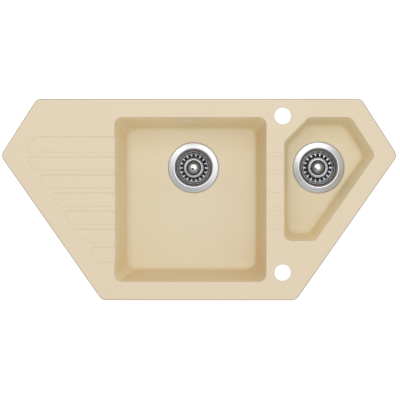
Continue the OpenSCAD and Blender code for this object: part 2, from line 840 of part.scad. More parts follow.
appliance_end = main_drain_x - appliance_len;
module appliance_seal() {
    color("dimgray")
        translate([appliance_end - 2 + seat_gap, drain_y, link_z])
            along_x() cylinder(r = appliance_r, h = 2 - 2 * seat_gap);
}
cap_h = 18;
module appliance_cap() {
    color("white")
        translate([appliance_end - 5, drain_y, link_z])
            along_x() difference() {
                union() {
                    cylinder(r = appliance_r + 3, h = cap_h);
                    for (k = [0:nut_grips - 1])
                        rotate(k * 360 / nut_grips)
                            translate([appliance_r + 2, -1, 1]) cube([2, 2, cap_h - 3]);
                }
                translate([0, 0, 3]) cylinder(r = appliance_r + fit_gap, h = cap_h);
            }
}

// Bottle trap under the tee

trap_wall = 3;
trap_top = trap_mouth - socket_len - 2;
trap_end = trap_top - trap_h;
trap_out_drop = 24;
trap_out_z = trap_top - trap_out_drop;
trap_out_len = 30;
trap_out_mouth = drain_y + trap_r + trap_out_len;
dip_r = 18;
dip_gap = 10;
module trap_body() {
    color("white")
        translate([main_drain_x, drain_y, 0])
            difference() {
                union() {
                    translate([0, 0, trap_top - trap_wall])
                        cylinder(r = thread_r, h = trap_mouth - trap_top + trap_wall);
                    translate([0, 0, trap_top - trap_wall]) cylinder(r = trap_r, h = trap_wall);
                    translate([0, 0, trap_end]) tube(trap_r, trap_r - trap_wall, trap_h);
                    translate([0, 0, trap_end + dip_gap])
                        cylinder(r = dip_r, h = trap_h - dip_gap);
                    translate([0, trap_r - trap_wall, trap_out_z])
                        along_y() cylinder(r = thread_r, h = trap_out_len + trap_wall);
                }
                translate([0, 0, trap_end - eps]) cylinder(r = dip_r - pipe_t, h = trap_mouth - trap_end + 2 * eps);
                translate([0, 0, trap_mouth - socket_len]) cylinder(r = socket_r, h = socket_len + eps);
                translate([0, dip_r + 2 * eps, trap_out_z])
                    along_y() cylinder(r = pipe_r - pipe_t, h = trap_r + trap_out_len);
                translate([0, trap_r + trap_out_len - socket_len, trap_out_z])
                    along_y() cylinder(r = socket_r, h = socket_len + eps);
            }
}

module trap_washer() {
    color("dimgray") translate([main_drain_x, drain_y, trap_mouth + seat_gap]) washer();
}
module trap_nut() {
    color("white")
        translate([main_drain_x, drain_y, trap_mouth + washer_t + nut_lip]) union_nut(thread_r, pipe_r);
}
module outlet_washer() {
    color("dimgray")
        translate([main_drain_x, trap_out_mouth + seat_gap, trap_out_z]) along_y() washer();
}
module outlet_nut() {
    color("white")
        translate([main_drain_x, trap_out_mouth + washer_t + nut_lip, trap_out_z])
            along_y() union_nut(thread_r, pipe_r);
}
// The outlet pipe has a stop bead outside its nut, and its free end takes the house's waste pipe
stop_bead = 4;
module outlet_pipe() {
    start = trap_out_mouth - socket_len + end_gap;
    stop = trap_out_mouth + washer_t + nut_lip + 3;
    color("white")
        translate([main_drain_x, 0, trap_out_z])
            along_y() {
                translate([0, 0, start]) tube(pipe_r, pipe_r - pipe_t, outlet_y - start);
                translate([0, 0, stop]) tube(pipe_r + 1.5, pipe_r - pipe_t, stop_bead);
            }
}

cup_grip = 18;
cup_wall = 3.4;
cup_hollow = 20;
cup_seal_t = 2;
trap_cup_r = trap_r + fit_gap + cup_wall;
cup_ledge = trap_end - cup_seal_t - 2 * move_gap;
cup_ribs = 12;
module trap_cup() {
    color("white")
        translate([main_drain_x, drain_y, cup_ledge - cup_hollow])
            difference() {
                union() {
                    cylinder(r = trap_cup_r, h = trap_end + cup_grip - cup_ledge + cup_hollow);
                    for (k = [0:cup_ribs - 1])
                        rotate(k * 360 / cup_ribs)
                            translate([trap_cup_r - eps, -2, cup_hollow - 6])
                                cube([eps + 1.5, 4, cup_grip + 4]);
                }
                translate([0, 0, cup_wall]) cylinder(r = trap_r - trap_wall, h = cup_hollow);
                translate([0, 0, cup_hollow])
                    cylinder(r = trap_r + fit_gap, h = trap_end + cup_grip - cup_ledge + eps);
            }
}
module trap_cup_seal() {
    color("dimgray")
        translate([main_drain_x, drain_y, cup_ledge + seat_gap])
            tube(trap_r - seat_gap, trap_r - trap_wall + 0.2, cup_seal_t);
}

// Overflow behind the main bowl's rear wall

overflow_gasket_t = 2.5;
head_y = overflow_pad_y + overflow_gasket_t;
head_flange_t = 4;
head_flange_r = overflow_pad_r - 3;
head_r = overflow_r;
head_depth = 20;
overflow_screw_r = 2;
overflow_thread = 6;
head_foot = overflow_z - overflow_pad_r - 2;
hose_y = head_y + head_depth / 2;
spigot_len = 22;
module overflow_gasket() {
    color("dimgray")
        difference() {
            translate([overflow_x, overflow_pad_y + seat_gap, overflow_z])
                along_y() tube(head_flange_r - 1, overflow_r + 0.5, overflow_gasket_t - 2 * seat_gap);
            at_overflow_screws()
                translate([0, overflow_pad_y - eps, 0])
                    along_y() cylinder(r = overflow_screw_r + fit_gap, h = overflow_gasket_t + 2 * eps);
        }
}
module overflow_head() {
    color("white")
        difference() {
            union() {
                translate([overflow_x, head_y, overflow_z])
                    along_y() {
                        cylinder(r = head_flange_r, h = head_flange_t);
                        cylinder(r = head_r, h = head_depth);
                    }
                translate([overflow_x - spigot_r - 3, head_y, head_foot])
                    cube([2 * spigot_r + 6, head_depth, overflow_z - head_foot]);
                translate([overflow_x, hose_y, head_foot - spigot_len])
                    cylinder(r = spigot_r, h = spigot_len + eps);
            }
            translate([overflow_x, head_y - eps, overflow_z])
                along_y() cylinder(r = head_r - 2.5, h = head_depth - 2 + eps);
            translate([overflow_x, hose_y, head_foot - spigot_len - eps])
                cylinder(r = spigot_r - spigot_t, h = overflow_z - head_foot + spigot_len + eps);
            at_overflow_screws()
                translate([0, head_y - eps, 0])
                    along_y() cylinder(r = overflow_screw_r + fit_gap, h = head_flange_t + 2 * eps);
        }
}
module overflow_screws() {
    color("silver")
        at_overflow_screws() {
            translate([0, overflow_pad_y - overflow_thread + move_gap, 0])
                along_y() cylinder(
                    r = overflow_screw_r,
                    h = overflow_thread - move_gap + overflow_gasket_t + head_flange_t + eps
                );
            translate([0, head_y + head_flange_t + seat_gap, 0])
                along_y() difference() {
                    cylinder(r = 3.6, h = 2.4);
                    for (a = [0, 90])
                        rotate(a) translate([-2.2, -0.4, 1.2]) cube([4.4, 0.8, 2]);
                }
        }
}

// Ribbed overflow hose: straight out of the waste port, a quarter bend, then up to the head.
// It has 8 sides and two rings a rib, and its corners lie outside the spigots that it grips.
hose_sides = 8;
hose_bore_r = (spigot_r + seat_gap) / cos(180 / hose_sides);
hose_root_r = hose_bore_r + 0.9;
hose_crest_r = hose_root_r + 1.9;
hose_straight = 2 * hose_crest_r;
hose_start = [main_drain_x, drain_y + waste_flange_r + 3, main_floor + port_z];
hose_end_z = head_foot - end_gap;
hose_bend_r = hose_y - hose_start.y - hose_straight;
hose_bend_len = hose_bend_r * PI / 2;
hose_rise = hose_end_z - hose_start.z - hose_bend_r;
hose_len = hose_straight + hose_bend_len + hose_rise;
// Share of the sideways step from the port's x to the head's x, s along the hose
function hose_shift(s) =
    let (t = min(1, max(0, (s - hose_straight - hose_bend_len) / (hose_rise - hose_straight))))
    t * t * (3 - 2 * t);
function hose_angle(s) = min(90, max(0, (s - hose_straight) / hose_bend_r * 180 / PI));
function hose_point(s) =
    let (a = hose_angle(s))
    let (past = max(0, s - hose_straight - hose_bend_len))
    [
        hose_start.x + (overflow_x - hose_start.x) * hose_shift(s),
        hose_start.y + min(s, hose_straight) + hose_bend_r * sin(a),
        hose_start.z + hose_bend_r * (1 - cos(a)) + past
    ];
function hose_ring(s, r) =
    let (c = hose_point(s))
    let (a = hose_angle(s))
    [
        for (i = [0:hose_sides - 1])
            let (q = 360 * (i + 0.5) / hose_sides)
            c + r * [cos(q), -sin(a) * sin(q), cos(a) * sin(q)]
    ];
hose_steps = 2 * hose_ribs;
hose_outer = [
    for (k = [0:hose_steps]) hose_ring(hose_len * k / hose_steps, k % 2 == 1 ? hose_crest_r : hose_root_r)
];
hose_bore = [for (k = [0:2:hose_steps]) hose_ring(hose_len * k / hose_steps, hose_bore_r)];
hose_gap = min([
    for (k = [1:2:hose_steps - 3], i = [0:hose_sides - 1]) norm(hose_outer[k + 2][i] - hose_outer[k][i])
]);
echo(str("least gap between the crests of neighbouring hose ribs: ", hose_gap, " mm"));

module overflow_hose() {
    m = hose_sides;
    outer_n = len(hose_outer);
    bore_n = len(hose_bore);
    base = outer_n * m;
    last = (outer_n - 1) * m;
    bore_last = base + (bore_n - 1) * m;
    color("gray")
        polyhedron(
            points = concat([for (r = hose_outer) each r], [for (r = hose_bore) each r]),
            faces = concat(
                [
                    for (k = [0:outer_n - 2], i = [0:m - 1])
                        let (a = k * m + i)
                        let (b = k * m + (i + 1) % m)
                        each [[a, b + m, a + m], [a, b, b + m]]
                ],
                [
                    for (k = [0:bore_n - 2], i = [0:m - 1])
                        let (a = base + k * m + i)
                        let (b = base + k * m + (i + 1) % m)
                        each [[a, a + m, b + m], [a, b + m, b]]
                ],
                [
                    for (i = [0:m - 1])
                        let (j = (i + 1) % m)
                        each [[i, base + i, base + j], [i, base + j, j]]
                ],
                [
                    for (i = [0:m - 1])
                        let (j = (i + 1) % m)
                        each [
                            [last + i, bore_last + j, bore_last + i],
                            [last + i, last + j, bore_last + j]
                        ]
                ]
            )
        );
}

hose_clip_w = 9;
hose_clip_at = 9;
module hose_clip() {
    translate([0, 0, -hose_clip_w / 2]) tube(hose_crest_r + 0.9, hose_crest_r + fit_gap, hose_clip_w);
    translate([hose_crest_r + 0.5, -6, -hose_clip_w / 2 - 1])
        difference() {
            cube([5, 12, hose_clip_w + 2]);
            translate([3.2, -eps, hose_clip_w / 2 + 0.4]) cube([4, 12 + 2 * eps, 1.2]);
        }
}
module hose_clips() {
    color("silver") {
        translate(hose_start + [0, hose_clip_at, 0]) along_y() hose_clip();
        translate([overflow_x, hose_y, hose_end_z - hose_clip_at]) hose_clip();
    }
}

// Fixing clips: a threaded insert in the casting, a long screw and a claw that turns on it

claw_t = 2.5;
claw_sleeve_r = clip_screw_r + 3;
claw_top = -worktop_t - 0.5;
claw_tip_h = 4;
claw_base = claw_top - claw_tip_h;
claw_sleeve_h = 16;
clip_head_h = 4;
module clip_insert() {
    translate([0, 0, -clip_boss_h]) tube(insert_r, clip_screw_r + seat_gap, insert_h);
}
module clip_screw() {
    reach = clip_boss_h - insert_h + move_gap;
    foot = claw_base - claw_t - move_gap;
    translate([0, 0, foot]) cylinder(r = clip_screw_r, h = -foot - reach - move_gap);
    translate([0, 0, foot - clip_head_h])
        difference() {
            cylinder(r = clip_screw_r + 2.2, h = clip_head_h);
            translate([0, 0, -eps]) cylinder(r = 2.1, h = 2.2 + eps, $fn = 6);
        }
}
// The arm lies along +X and swings outwards about the screw
module claw() {
    difference() {
        union() {
            translate([0, 0, claw_base - claw_t]) {
                cylinder(r = clip_w / 2, h = claw_t);
                translate([0, -clip_w / 2, 0]) cube([clip_len, clip_w, claw_t]);
                cylinder(r = claw_sleeve_r, h = claw_sleeve_h);
            }
            translate([clip_len - claw_t, -clip_w / 2, claw_base - claw_t])
                cube([claw_t, clip_w, claw_t + claw_tip_h]);
            translate([claw_sleeve_r - eps, claw_t / 2, claw_base - eps / 2])
                rotate([90, 0, 0])
                    linear_extrude(claw_t)
                        polygon([
                            [0, 0], [clip_len - claw_sleeve_r - claw_t, 0], [0, claw_sleeve_h - claw_t - 2]
                        ]);
        }
        translate([0, 0, claw_base - claw_t - eps])
            cylinder(r = clip_screw_r + fit_gap, h = claw_sleeve_h + 2 * eps);
    }
}
module clip(i) {
    color("silver")
        at_clip(i) rotate(clip_turn(CLIPS[i][0]) + (CLIPS[i][2] > 0 ? 0 : 180)) claw();
}
module clip_inserts() {
    color("goldenrod")
        for (i = [0:len(CLIPS) - 1])
            at_clip(i) clip_insert();
}
module clip_screws() {
    color("silver")
        for (i = [0:len(CLIPS) - 1])
            at_clip(i) clip_screw();
}

module at_main_drain() {
    translate([main_drain_x, drain_y, main_floor]) children();
}
module at_half_drain() {
    translate([half_drain_x, drain_y, half_floor]) children();
}

sink_body();
rim_seal();
color("silver") at_main_drain() strainer_cup();  // main_strainer_cup
color("dimgray") at_main_drain() flange_gasket();  // main_flange_gasket
color("silver") at_main_drain() centre_screw();  // main_centre_screw
color("white") at_main_drain() main_waste();  // main_waste_body
color("dimgray") at_main_drain() lower_gasket();  // main_lower_gasket
color("silver") at_main_drain() basket();  // main_basket
color("dimgray") at_main_drain() basket_seal();  // main_basket_seal
color("silver") at_main_drain() basket_stem();  // main_basket_stem
color("silver") at_main_drain() basket_knob();  // main_basket_knob
color("silver") at_half_drain() strainer_cup();  // half_strainer_cup
color("dimgray") at_half_drain() flange_gasket();  // half_flange_gasket
color("silver") at_half_drain() centre_screw();  // half_centre_screw
color("white") at_half_drain() waste_body();  // half_waste_body
color("dimgray") at_half_drain() lower_gasket();  // half_lower_gasket
color("silver") at_half_drain() basket();  // half_basket
color("dimgray") at_half_drain() basket_seal();  // half_basket_seal
color("silver") at_half_drain() basket_stem();  // half_basket_stem
color("silver") at_half_drain() basket_knob();  // half_basket_knob
overflow_gasket();
overflow_head();
overflow_screws();
overflow_hose();
hose_clips();
color("dimgray") at_main_tail() tail_washer();  // main_tail_washer
color("white") at_main_tail() tail_nut();  // main_tail_nut
color("dimgray") at_half_tail() tail_washer();  // half_tail_washer
color("white") at_half_tail() tail_nut();  // half_tail_nut
link_pipe();
link_washer();
link_nut();
tee();
appliance_seal();
appliance_cap();
trap_washer();
trap_nut();
trap_body();
trap_cup();
trap_cup_seal();
outlet_washer();
outlet_nut();
outlet_pipe();
clip_inserts();
clip_screws();
clip(0);  // clip_rear_left
clip(1);  // clip_rear_right
clip(2);  // clip_front_left
clip(3);  // clip_front_right
clip(4);  // clip_side_rear_left
clip(5);  // clip_side_rear_right
clip(6);  // clip_side_front_left
clip(7);  // clip_side_front_right
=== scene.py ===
"""Look of a corner inset kitchen sink in stone composite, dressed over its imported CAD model.

Everything is in metres, in the frame of the CAD model: +X towards the half bowl, +Y towards the
rear edge, +Z up.
"""

import json
import logging
import math
from dataclasses import dataclass, field
from enum import Enum
from typing import Callable, Optional, Sequence, Union

import bmesh
import bpy
from mathutils import Matrix, Vector
from mathutils.geometry import convex_hull_2d


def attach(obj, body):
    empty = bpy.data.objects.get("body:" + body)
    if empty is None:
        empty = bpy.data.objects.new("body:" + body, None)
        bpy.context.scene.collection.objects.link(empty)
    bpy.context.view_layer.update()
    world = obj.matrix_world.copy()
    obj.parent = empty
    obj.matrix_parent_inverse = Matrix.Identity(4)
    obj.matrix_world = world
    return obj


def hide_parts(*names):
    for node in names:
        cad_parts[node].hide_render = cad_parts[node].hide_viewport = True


LOG = logging.getLogger("kitchen_sink")
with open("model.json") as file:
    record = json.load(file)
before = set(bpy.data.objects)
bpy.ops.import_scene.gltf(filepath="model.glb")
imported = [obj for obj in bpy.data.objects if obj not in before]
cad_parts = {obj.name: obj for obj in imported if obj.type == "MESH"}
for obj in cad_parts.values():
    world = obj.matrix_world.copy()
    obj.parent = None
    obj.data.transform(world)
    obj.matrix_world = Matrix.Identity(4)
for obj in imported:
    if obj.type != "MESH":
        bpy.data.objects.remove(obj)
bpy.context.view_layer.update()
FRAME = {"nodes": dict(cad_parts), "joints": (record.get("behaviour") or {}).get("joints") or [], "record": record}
MM = 0.001

Socket = bpy.types.NodeSocket
Node = bpy.types.Node
Thing = bpy.types.Object
Shape = bmesh.types.BMesh
Value = Union[Socket, float, Sequence[float]]
Point = tuple[float, float]
Span = tuple[float, float]
Colour = tuple[float, float, float, float]
SocketPlan = tuple[str, str, object]

# Centres of the tap holes in plan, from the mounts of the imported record
TAP_HOLES: tuple[Point, ...] = tuple(
    (mount["pos_m"][0], mount["pos_m"][1])
    for mount in FRAME["record"]["mounts"]
    if mount["name"].startswith("tap_hole")
)


class Slot(Enum):
    """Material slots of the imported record."""

    COMPOSITE = "composite"
    STEEL = "steel"
    POLISHED_STEEL = "polished_steel"
    PLATED_STEEL = "plated_steel"
    BRASS = "brass"
    WHITE_PLASTIC = "white_plastic"
    GREY_PLASTIC = "grey_plastic"
    RUBBER = "rubber"
    FOAM_STRIP = "foam_strip"


class Bowl(Enum):
    """The two bowls, by the word that starts their nodes' names."""

    MAIN = "main"
    HALF = "half"


class Tree(Enum):
    """Node trees that several finishes or pieces share."""

    GRAIN = "surface_grain"
    MOTTLE = "soft_mottle"
    TURNED = "turned_rings"
    SCUFFS = "fine_scuffs"
    THREAD = "thread_ridges"
    HOSE = "ribbed_hose"
    BEAD = "parting_bead"
    BARS = "band_bars"


# Centre of each drain, on its bowl's floor
DRAINS: dict[Bowl, Vector] = {
    Bowl.MAIN: Vector((-0.014, 0.07, -0.181)),
    Bowl.HALF: Vector((0.266, 0.07, -0.121)),
}


# Node trees


class Wires:
    """Adds nodes to one node tree and joins their sockets."""

    def __init__(self, tree: bpy.types.NodeTree) -> None:
        """Keeps the shader or geometry node tree that the nodes go into."""
        self.tree = tree

    def add(
        self, kind: str, inputs: Optional[dict[Union[str, int], Value]] = None, **settings: object
    ) -> Node:
        """Adds a node.

        Args:
            kind: The node's type name.
            inputs: Sockets or constants by the input's name or number.
            **settings: Properties to set on the node.

        Returns:
            The new node.
        """
        node = self.tree.nodes.new(kind)
        for key, value in settings.items():
            setattr(node, key, value)
        for key, value in (inputs or {}).items():
            self.join(value, node.inputs[key])
        return node

    def join(self, source: Value, target: Socket) -> None:
        """Links a socket to a target, or sets the target's own value.

        Args:
            source: An output socket or a constant.
            target: The input socket.
        """
        if isinstance(source, bpy.types.NodeSocket):
            self.tree.links.new(source, target)
        else:
            target.default_value = source

    def math(self, operation: str, first: Value, second: Value = 0.0) -> Socket:
        """Adds a Math node with one or two values and gives its result."""
        return self.add("ShaderNodeMath", {0: first, 1: second}, operation=operation).outputs[0]

    def times(self, first: Value, second: Value) -> Socket:
        """Multiplies two values."""
        return self.math("MULTIPLY", first, second)

    def plus(self, first: Value, second: Value) -> Socket:
        """Adds two values."""
        return self.math("ADD", first, second)

    def vector_math(self, operation: str, first: Value, second: Value) -> Node:
        """Adds a Vector Math node with two vectors, which has a Vector and a Value output."""
        return self.add("ShaderNodeVectorMath", {0: first, 1: second}, operation=operation)

    def parts(self, vector: Value) -> tuple[Socket, ...]:
        """Gives a vector's X, Y and Z."""
        return tuple(self.add("ShaderNodeSeparateXYZ", {0: vector}).outputs)

    def mix(self, share: Value, first: Value, second: Value) -> Socket:
        """Mixes two colours by the share of the second one."""
        node = self.add("ShaderNodeMix", {0: share, 6: first, 7: second}, data_type="RGBA")
        return node.outputs[2]

    def span(
        self, value: Value, low: float, high: float, to_low: float = 0.0, to_high: float = 1.0
    ) -> Socket:
        """Maps a value from one range to another and clamps it.

        Args:
            value: The value to map.
            low: Start of the range it comes from.
            high: End of the range it comes from.
            to_low: Result at low.
            to_high: Result at high.

        Returns:
            The mapped value's socket.
        """
        numbers = {"From Min": low, "From Max": high, "To Min": to_low, "To Max": to_high}
        node = self.add("ShaderNodeMapRange", {"Value": value, **numbers}, clamp=True)
        return node.outputs["Result"]

    def fall(self, value: Value, low: float, high: float) -> Socket:
        """Gives 1 for values up to low, 0 from high, and a straight fall between them."""
        return self.span(value, low, high, 1.0, 0.0)

    def noise(self, vector: Value, scale: Value, detail: float = 2.0, rough: float = 0.5) -> Socket:
        """Adds a Noise Texture.

        Args:
            vector: The texture's coordinates.
            scale: The texture's scale.
            detail: Number of octaves.
            rough: Weight of the finer octaves.

        Returns:
            The factor's socket, about 0.2 to 0.8.
        """
        inputs = {"Vector": vector, "Scale": scale, "Detail": detail, "Roughness": rough}
        return self.add("ShaderNodeTexNoise", inputs).outputs["Fac"]

    def seen(self) -> Socket:
        """Tells the rays that show the surroundings from those that only carry light.

        Returns:
            1 for camera, glossy and transmission rays, and 0 for all others.
        """
        rays = self.add("ShaderNodeLightPath").outputs
        seen = self.math("MAXIMUM", rays["Is Camera Ray"], rays["Is Glossy Ray"])
        return self.math("MAXIMUM", seen, rays["Is Transmission Ray"])


def new_tree(
    tree: Tree, kind: str, inputs: Sequence[SocketPlan], outputs: Sequence[tuple[str, str]]
) -> tuple[Wires, Node, Node]:
    """Makes a shader group or a geometry node tree with named sockets.

    Args:
        tree: Which tree it is.
        kind: Its type name.
        inputs: Name, socket type and default of each input.
        outputs: Name and socket type of each output.

    Returns:
        The tree's wires, and its input and output nodes.
    """
    made = bpy.data.node_groups.new(tree.value, kind)
    for label, socket_type, default in inputs:
        socket = made.interface.new_socket(
            name=label, in_out="INPUT", socket_type="NodeSocket" + socket_type
        )
        if default is not None:
            socket.default_value = default
    for label, socket_type in outputs:
        made.interface.new_socket(
            name=label, in_out="OUTPUT", socket_type="NodeSocket" + socket_type
        )
    wires = Wires(made)
    return wires, wires.add("NodeGroupInput"), wires.add("NodeGroupOutput")


def grain_tree() -> bpy.types.NodeTree:
    """Builds the grain of a filled or sanded surface.

    Returns:
        A group that tints a colour with fine grains and gives their height.
    """
    wires, start, end = new_tree(
        Tree.GRAIN,
        "ShaderNodeTree",
        [
            ("Vector", "Vector", None),
            ("Colour", "Color", (0.8, 0.8, 0.8, 1)),
            ("Scale", "Float", 900.0),
            ("Contrast", "Float", 0.06),
        ],
        [("Colour", "Color"), ("Height", "Float")],
    )
    given = start.outputs
    coarseness, fine_share, gain = 0.31, 0.65, 4.0
    fine = wires.noise(given["Vector"], given["Scale"], 3.0, 0.6)
    coarse = wires.noise(given["Vector"], wires.times(given["Scale"], coarseness), 1.0)
    both = wires.plus(wires.times(fine, fine_share), wires.times(coarse, 1 - fine_share))
    swing = wires.times(wires.math("SUBTRACT", both, 0.5), wires.times(given["Contrast"], gain))
    tinted = wires.add(
        "ShaderNodeVectorMath",
        {0: given["Colour"], "Scale": wires.plus(1.0, swing)},
        operation="SCALE",
    )
    wires.join(tinted.outputs[0], end.inputs["Colour"])
    wires.join(both, end.inputs["Height"])
    return wires.tree


def mottle_tree() -> bpy.types.NodeTree:
    """Builds slow changes of tone, such as handling and casting leave.

    Returns:
        A group that mixes a colour towards a tint in soft clouds and gives their mask.
    """
    wires, start, end = new_tree(
        Tree.MOTTLE,
        "ShaderNodeTree",
        [
            ("Vector", "Vector", None),
            ("Colour", "Color", (0.8, 0.8, 0.8, 1)),
            ("Tint", "Color", (0.6, 0.6, 0.6, 1)),
            ("Scale", "Float", 9.0),
            ("Amount", "Float", 0.2),
        ],
        [("Colour", "Color"), ("Mask", "Float")],
    )
    given = start.outputs
    mask = wires.span(wires.noise(given["Vector"], given["Scale"], 4.0, 0.55), 0.42, 0.72)
    mixed = wires.mix(wires.times(mask, given["Amount"]), given["Colour"], given["Tint"])
    wires.join(mixed, end.inputs["Colour"])
    wires.join(mask, end.inputs["Mask"])
    return wires.tree


def turned_tree() -> bpy.types.NodeTree:
    """Builds the fine rings that a lathe or a turning brush leaves round a vertical axis.

    Returns:
        A group that gives the rings' height, a mask of duller rings and the distance from the axis.
    """
    wires, start, end = new_tree(
        Tree.TURNED,
        "ShaderNodeTree",
        [
            ("Vector", "Vector", None),
            ("Centre", "Vector", (0.0, 0.0, 0.0)),
            ("Rings", "Float", 2600.0),
        ],
        [("Height", "Float"), ("Mask", "Float"), ("Radius", "Float")],
    )
    given = start.outputs
    wall_share, drift = 0.7, 1.6
    x, y, z = wires.parts(
        wires.vector_math("SUBTRACT", given["Vector"], given["Centre"]).outputs[0]
    )
    radius = wires.math("SQRT", wires.plus(wires.times(x, x), wires.times(y, y)))
    turn = wires.math("ARCTAN2", y, x)
    across = wires.times(wires.plus(radius, wires.times(z, wall_share)), given["Rings"])
    flat = wires.add("ShaderNodeCombineXYZ", {0: across}).outputs[0]
    for number, wave in ((1, "SINE"), (2, "COSINE")):
        wires.join(wires.times(wires.math(wave, turn), drift), flat.node.inputs[number])
    wires.join(radius, end.inputs["Radius"])
    wires.join(wires.noise(flat, 1.0, 2.0, 0.6), end.inputs["Height"])
    wires.join(wires.span(wires.noise(flat, 0.16, 1.0), 0.38, 0.62), end.inputs["Mask"])
    return wires.tree


def scuffs_tree() -> bpy.types.NodeTree:
    """Builds short fine scratches in two directions.

    Returns:
        A group that gives a mask of the scratches and their height.
    """
    wires, start, end = new_tree(
        Tree.SCUFFS,
        "ShaderNodeTree",
        [("Vector", "Vector", None), ("Scale", "Float", 60.0)],
        [("Mask", "Float"), ("Height", "Float")],
    )
    given = start.outputs
    masks = []
    for turn, stretch in ((0.5, (1.0, 14.0, 6.0)), (-0.9, (12.0, 1.0, 7.0))):
        place = wires.add(
            "ShaderNodeMapping",
            {"Vector": given["Vector"], "Rotation": (0.2, 0.1, turn), "Scale": stretch},
        )
        masks.append(wires.span(wires.noise(place.outputs[0], given["Scale"], 2.0), 0.63, 0.7))
    both = wires.math("MAXIMUM", *masks)
    wires.join(both, end.inputs["Mask"])
    wires.join(wires.math("SUBTRACT", 1.0, both), end.inputs["Height"])
    return wires.tree


def shape_tree(tree: Tree, inputs: Sequence[SocketPlan]) -> tuple[Wires, Node, Node]:
    """Starts a geometry node tree with a geometry, named inputs and a material.

    Args:
        tree: Which tree it is.
        inputs: Name, socket type and default of each input of its own.

    Returns:
        The tree's wires, and its input and output nodes.
    """
    plan = [("Geometry", "Geometry", None), *inputs, ("Material", "Material", None)]
    return new_tree(tree, "GeometryNodeTree", plan, [("Geometry", "Geometry")])


def end_tree(wires: Wires, shape: Socket, start: Node, end: Node) -> bpy.types.NodeTree:
    """Ends a geometry node tree in Realize Instances and Set Material.

    Args:
        wires: The tree's wires.
        shape: The geometry so far.
        start: The tree's input node.
        end: The tree's output node.

    Returns:
        The tree.
    """
    real = wires.add("GeometryNodeRealizeInstances", {0: shape}).outputs[0]
    inputs = {"Geometry": real, "Material": start.outputs["Material"]}
    wires.join(wires.add("GeometryNodeSetMaterial", inputs).outputs[0], end.inputs[0])
    return wires.tree


def sweep(wires: Wires, curve: Socket, radius: Value, sides: Value, scale: Value = 1.0) -> Socket:
    """Sweeps a closed circle along a curve.

    Args:
        wires: The tree's wires.
        curve: The curve.
        radius: The circle's radius.
        sides: Its number of sides.
        scale: Its size along the curve.

    Returns:
        The mesh's socket.
    """
    ring = wires.add("GeometryNodeCurvePrimitiveCircle", {"Resolution": sides, "Radius": radius})
    inputs = {"Curve": curve, "Profile Curve": ring.outputs[0], "Scale": scale, "Fill Caps": True}
    return wires.add("GeometryNodeCurveToMesh", inputs).outputs[0]


def spread(wires: Wires, start: Node, shape: Socket) -> Socket:
    """Sets a shape on each point of the tree's geometry, turned by the attribute "turn".

    Args:
        wires: The tree's wires.
        start: The tree's input node.
        shape: The shape.

    Returns:
        The instances' socket.
    """
    turn = wires.add(
        "GeometryNodeInputNamedAttribute", {"Name": "turn"}, data_type="FLOAT_VECTOR"
    )
    angles = wires.add("FunctionNodeEulerToRotation", {0: turn.outputs[0]}).outputs[0]
    inputs = {"Points": start.outputs["Geometry"], "Instance": shape, "Rotation": angles}
    return wires.add("GeometryNodeInstanceOnPoints", inputs).outputs[0]


def thread_tree() -> bpy.types.NodeTree:
    """Builds the tree that winds a thread's ridge round an axis at each point.

    Returns:
        The tree.
    """
    wires, start, end = shape_tree(
        Tree.THREAD,
        [
            ("Radius", "Float", 0.0239),
            ("Pitch", "Float", 0.003),
            ("Turns", "Float", 4.0),
            ("Ridge", "Float", 0.0005),
            ("Steps", "Int", 36),
        ],
    )
    given = start.outputs
    spiral = wires.add(
        "GeometryNodeCurveSpiral",
        {
            "Resolution": given["Steps"],
            "Rotations": given["Turns"],
            "Start Radius": given["Radius"],
            "End Radius": given["Radius"],
            "Height": wires.times(given["Pitch"], given["Turns"]),
        },
    )
    ridge = sweep(wires, spiral.outputs[0], given["Ridge"], 6)
    return end_tree(wires, spread(wires, start, ridge), start, end)


def hose_tree() -> bpy.types.NodeTree:
    """Builds the tree that sweeps a ribbed hose along a path.

    Returns:
        The tree.
    """
    wires, start, end = shape_tree(
        Tree.HOSE,
        [
            ("Ribs", "Int", 44),
            ("Root Radius", "Float", 0.0111),
            ("Crest Radius", "Float", 0.013),
            ("Sides", "Int", 28),
        ],
    )
    given = start.outputs
    steps_per_rib, fullness = 8.0, 0.75
    line = wires.add("GeometryNodeMeshToCurve", {"Mesh": given["Geometry"]}).outputs[0]
    count = wires.plus(wires.times(given["Ribs"], steps_per_rib), 1.0)
    even = wires.add("GeometryNodeResampleCurve", {"Curve": line, "Count": count}).outputs[0]
    place = wires.add("GeometryNodeSplineParameter").outputs["Factor"]
    wave = wires.math("SINE", wires.times(wires.times(place, given["Ribs"]), math.pi))
    bulge = wires.math("POWER", wires.math("ABSOLUTE", wave), fullness)
    rise = wires.math("SUBTRACT", given["Crest Radius"], given["Root Radius"])
    size = wires.plus(given["Root Radius"], wires.times(bulge, rise))
    return end_tree(wires, sweep(wires, even, 1.0, given["Sides"], size), start, end)


def bead_tree() -> bpy.types.NodeTree:
    """Builds the tree that lays a thin bead, such as a mould's parting line, along a path.

    Returns:
        The tree.
    """
    wires, start, end = shape_tree(Tree.BEAD, [("Radius", "Float", 0.0003)])
    line = wires.add("GeometryNodeMeshToCurve", {"Mesh": start.outputs["Geometry"]}).outputs[0]
    return end_tree(wires, sweep(wires, line, start.outputs["Radius"], 6), start, end)


def bars_tree() -> bpy.types.NodeTree:
    """Builds the tree that sets small raised bars on points.

    Returns:
        The tree.
    """
    wires, start, end = shape_tree(Tree.BARS, [("Size", "Vector", (0.0005, 0.0006, 0.005))])
    bar = wires.add("GeometryNodeMeshCube", {"Size": start.outputs["Size"]}).outputs[0]
    return end_tree(wires, spread(wires, start, bar), start, end)


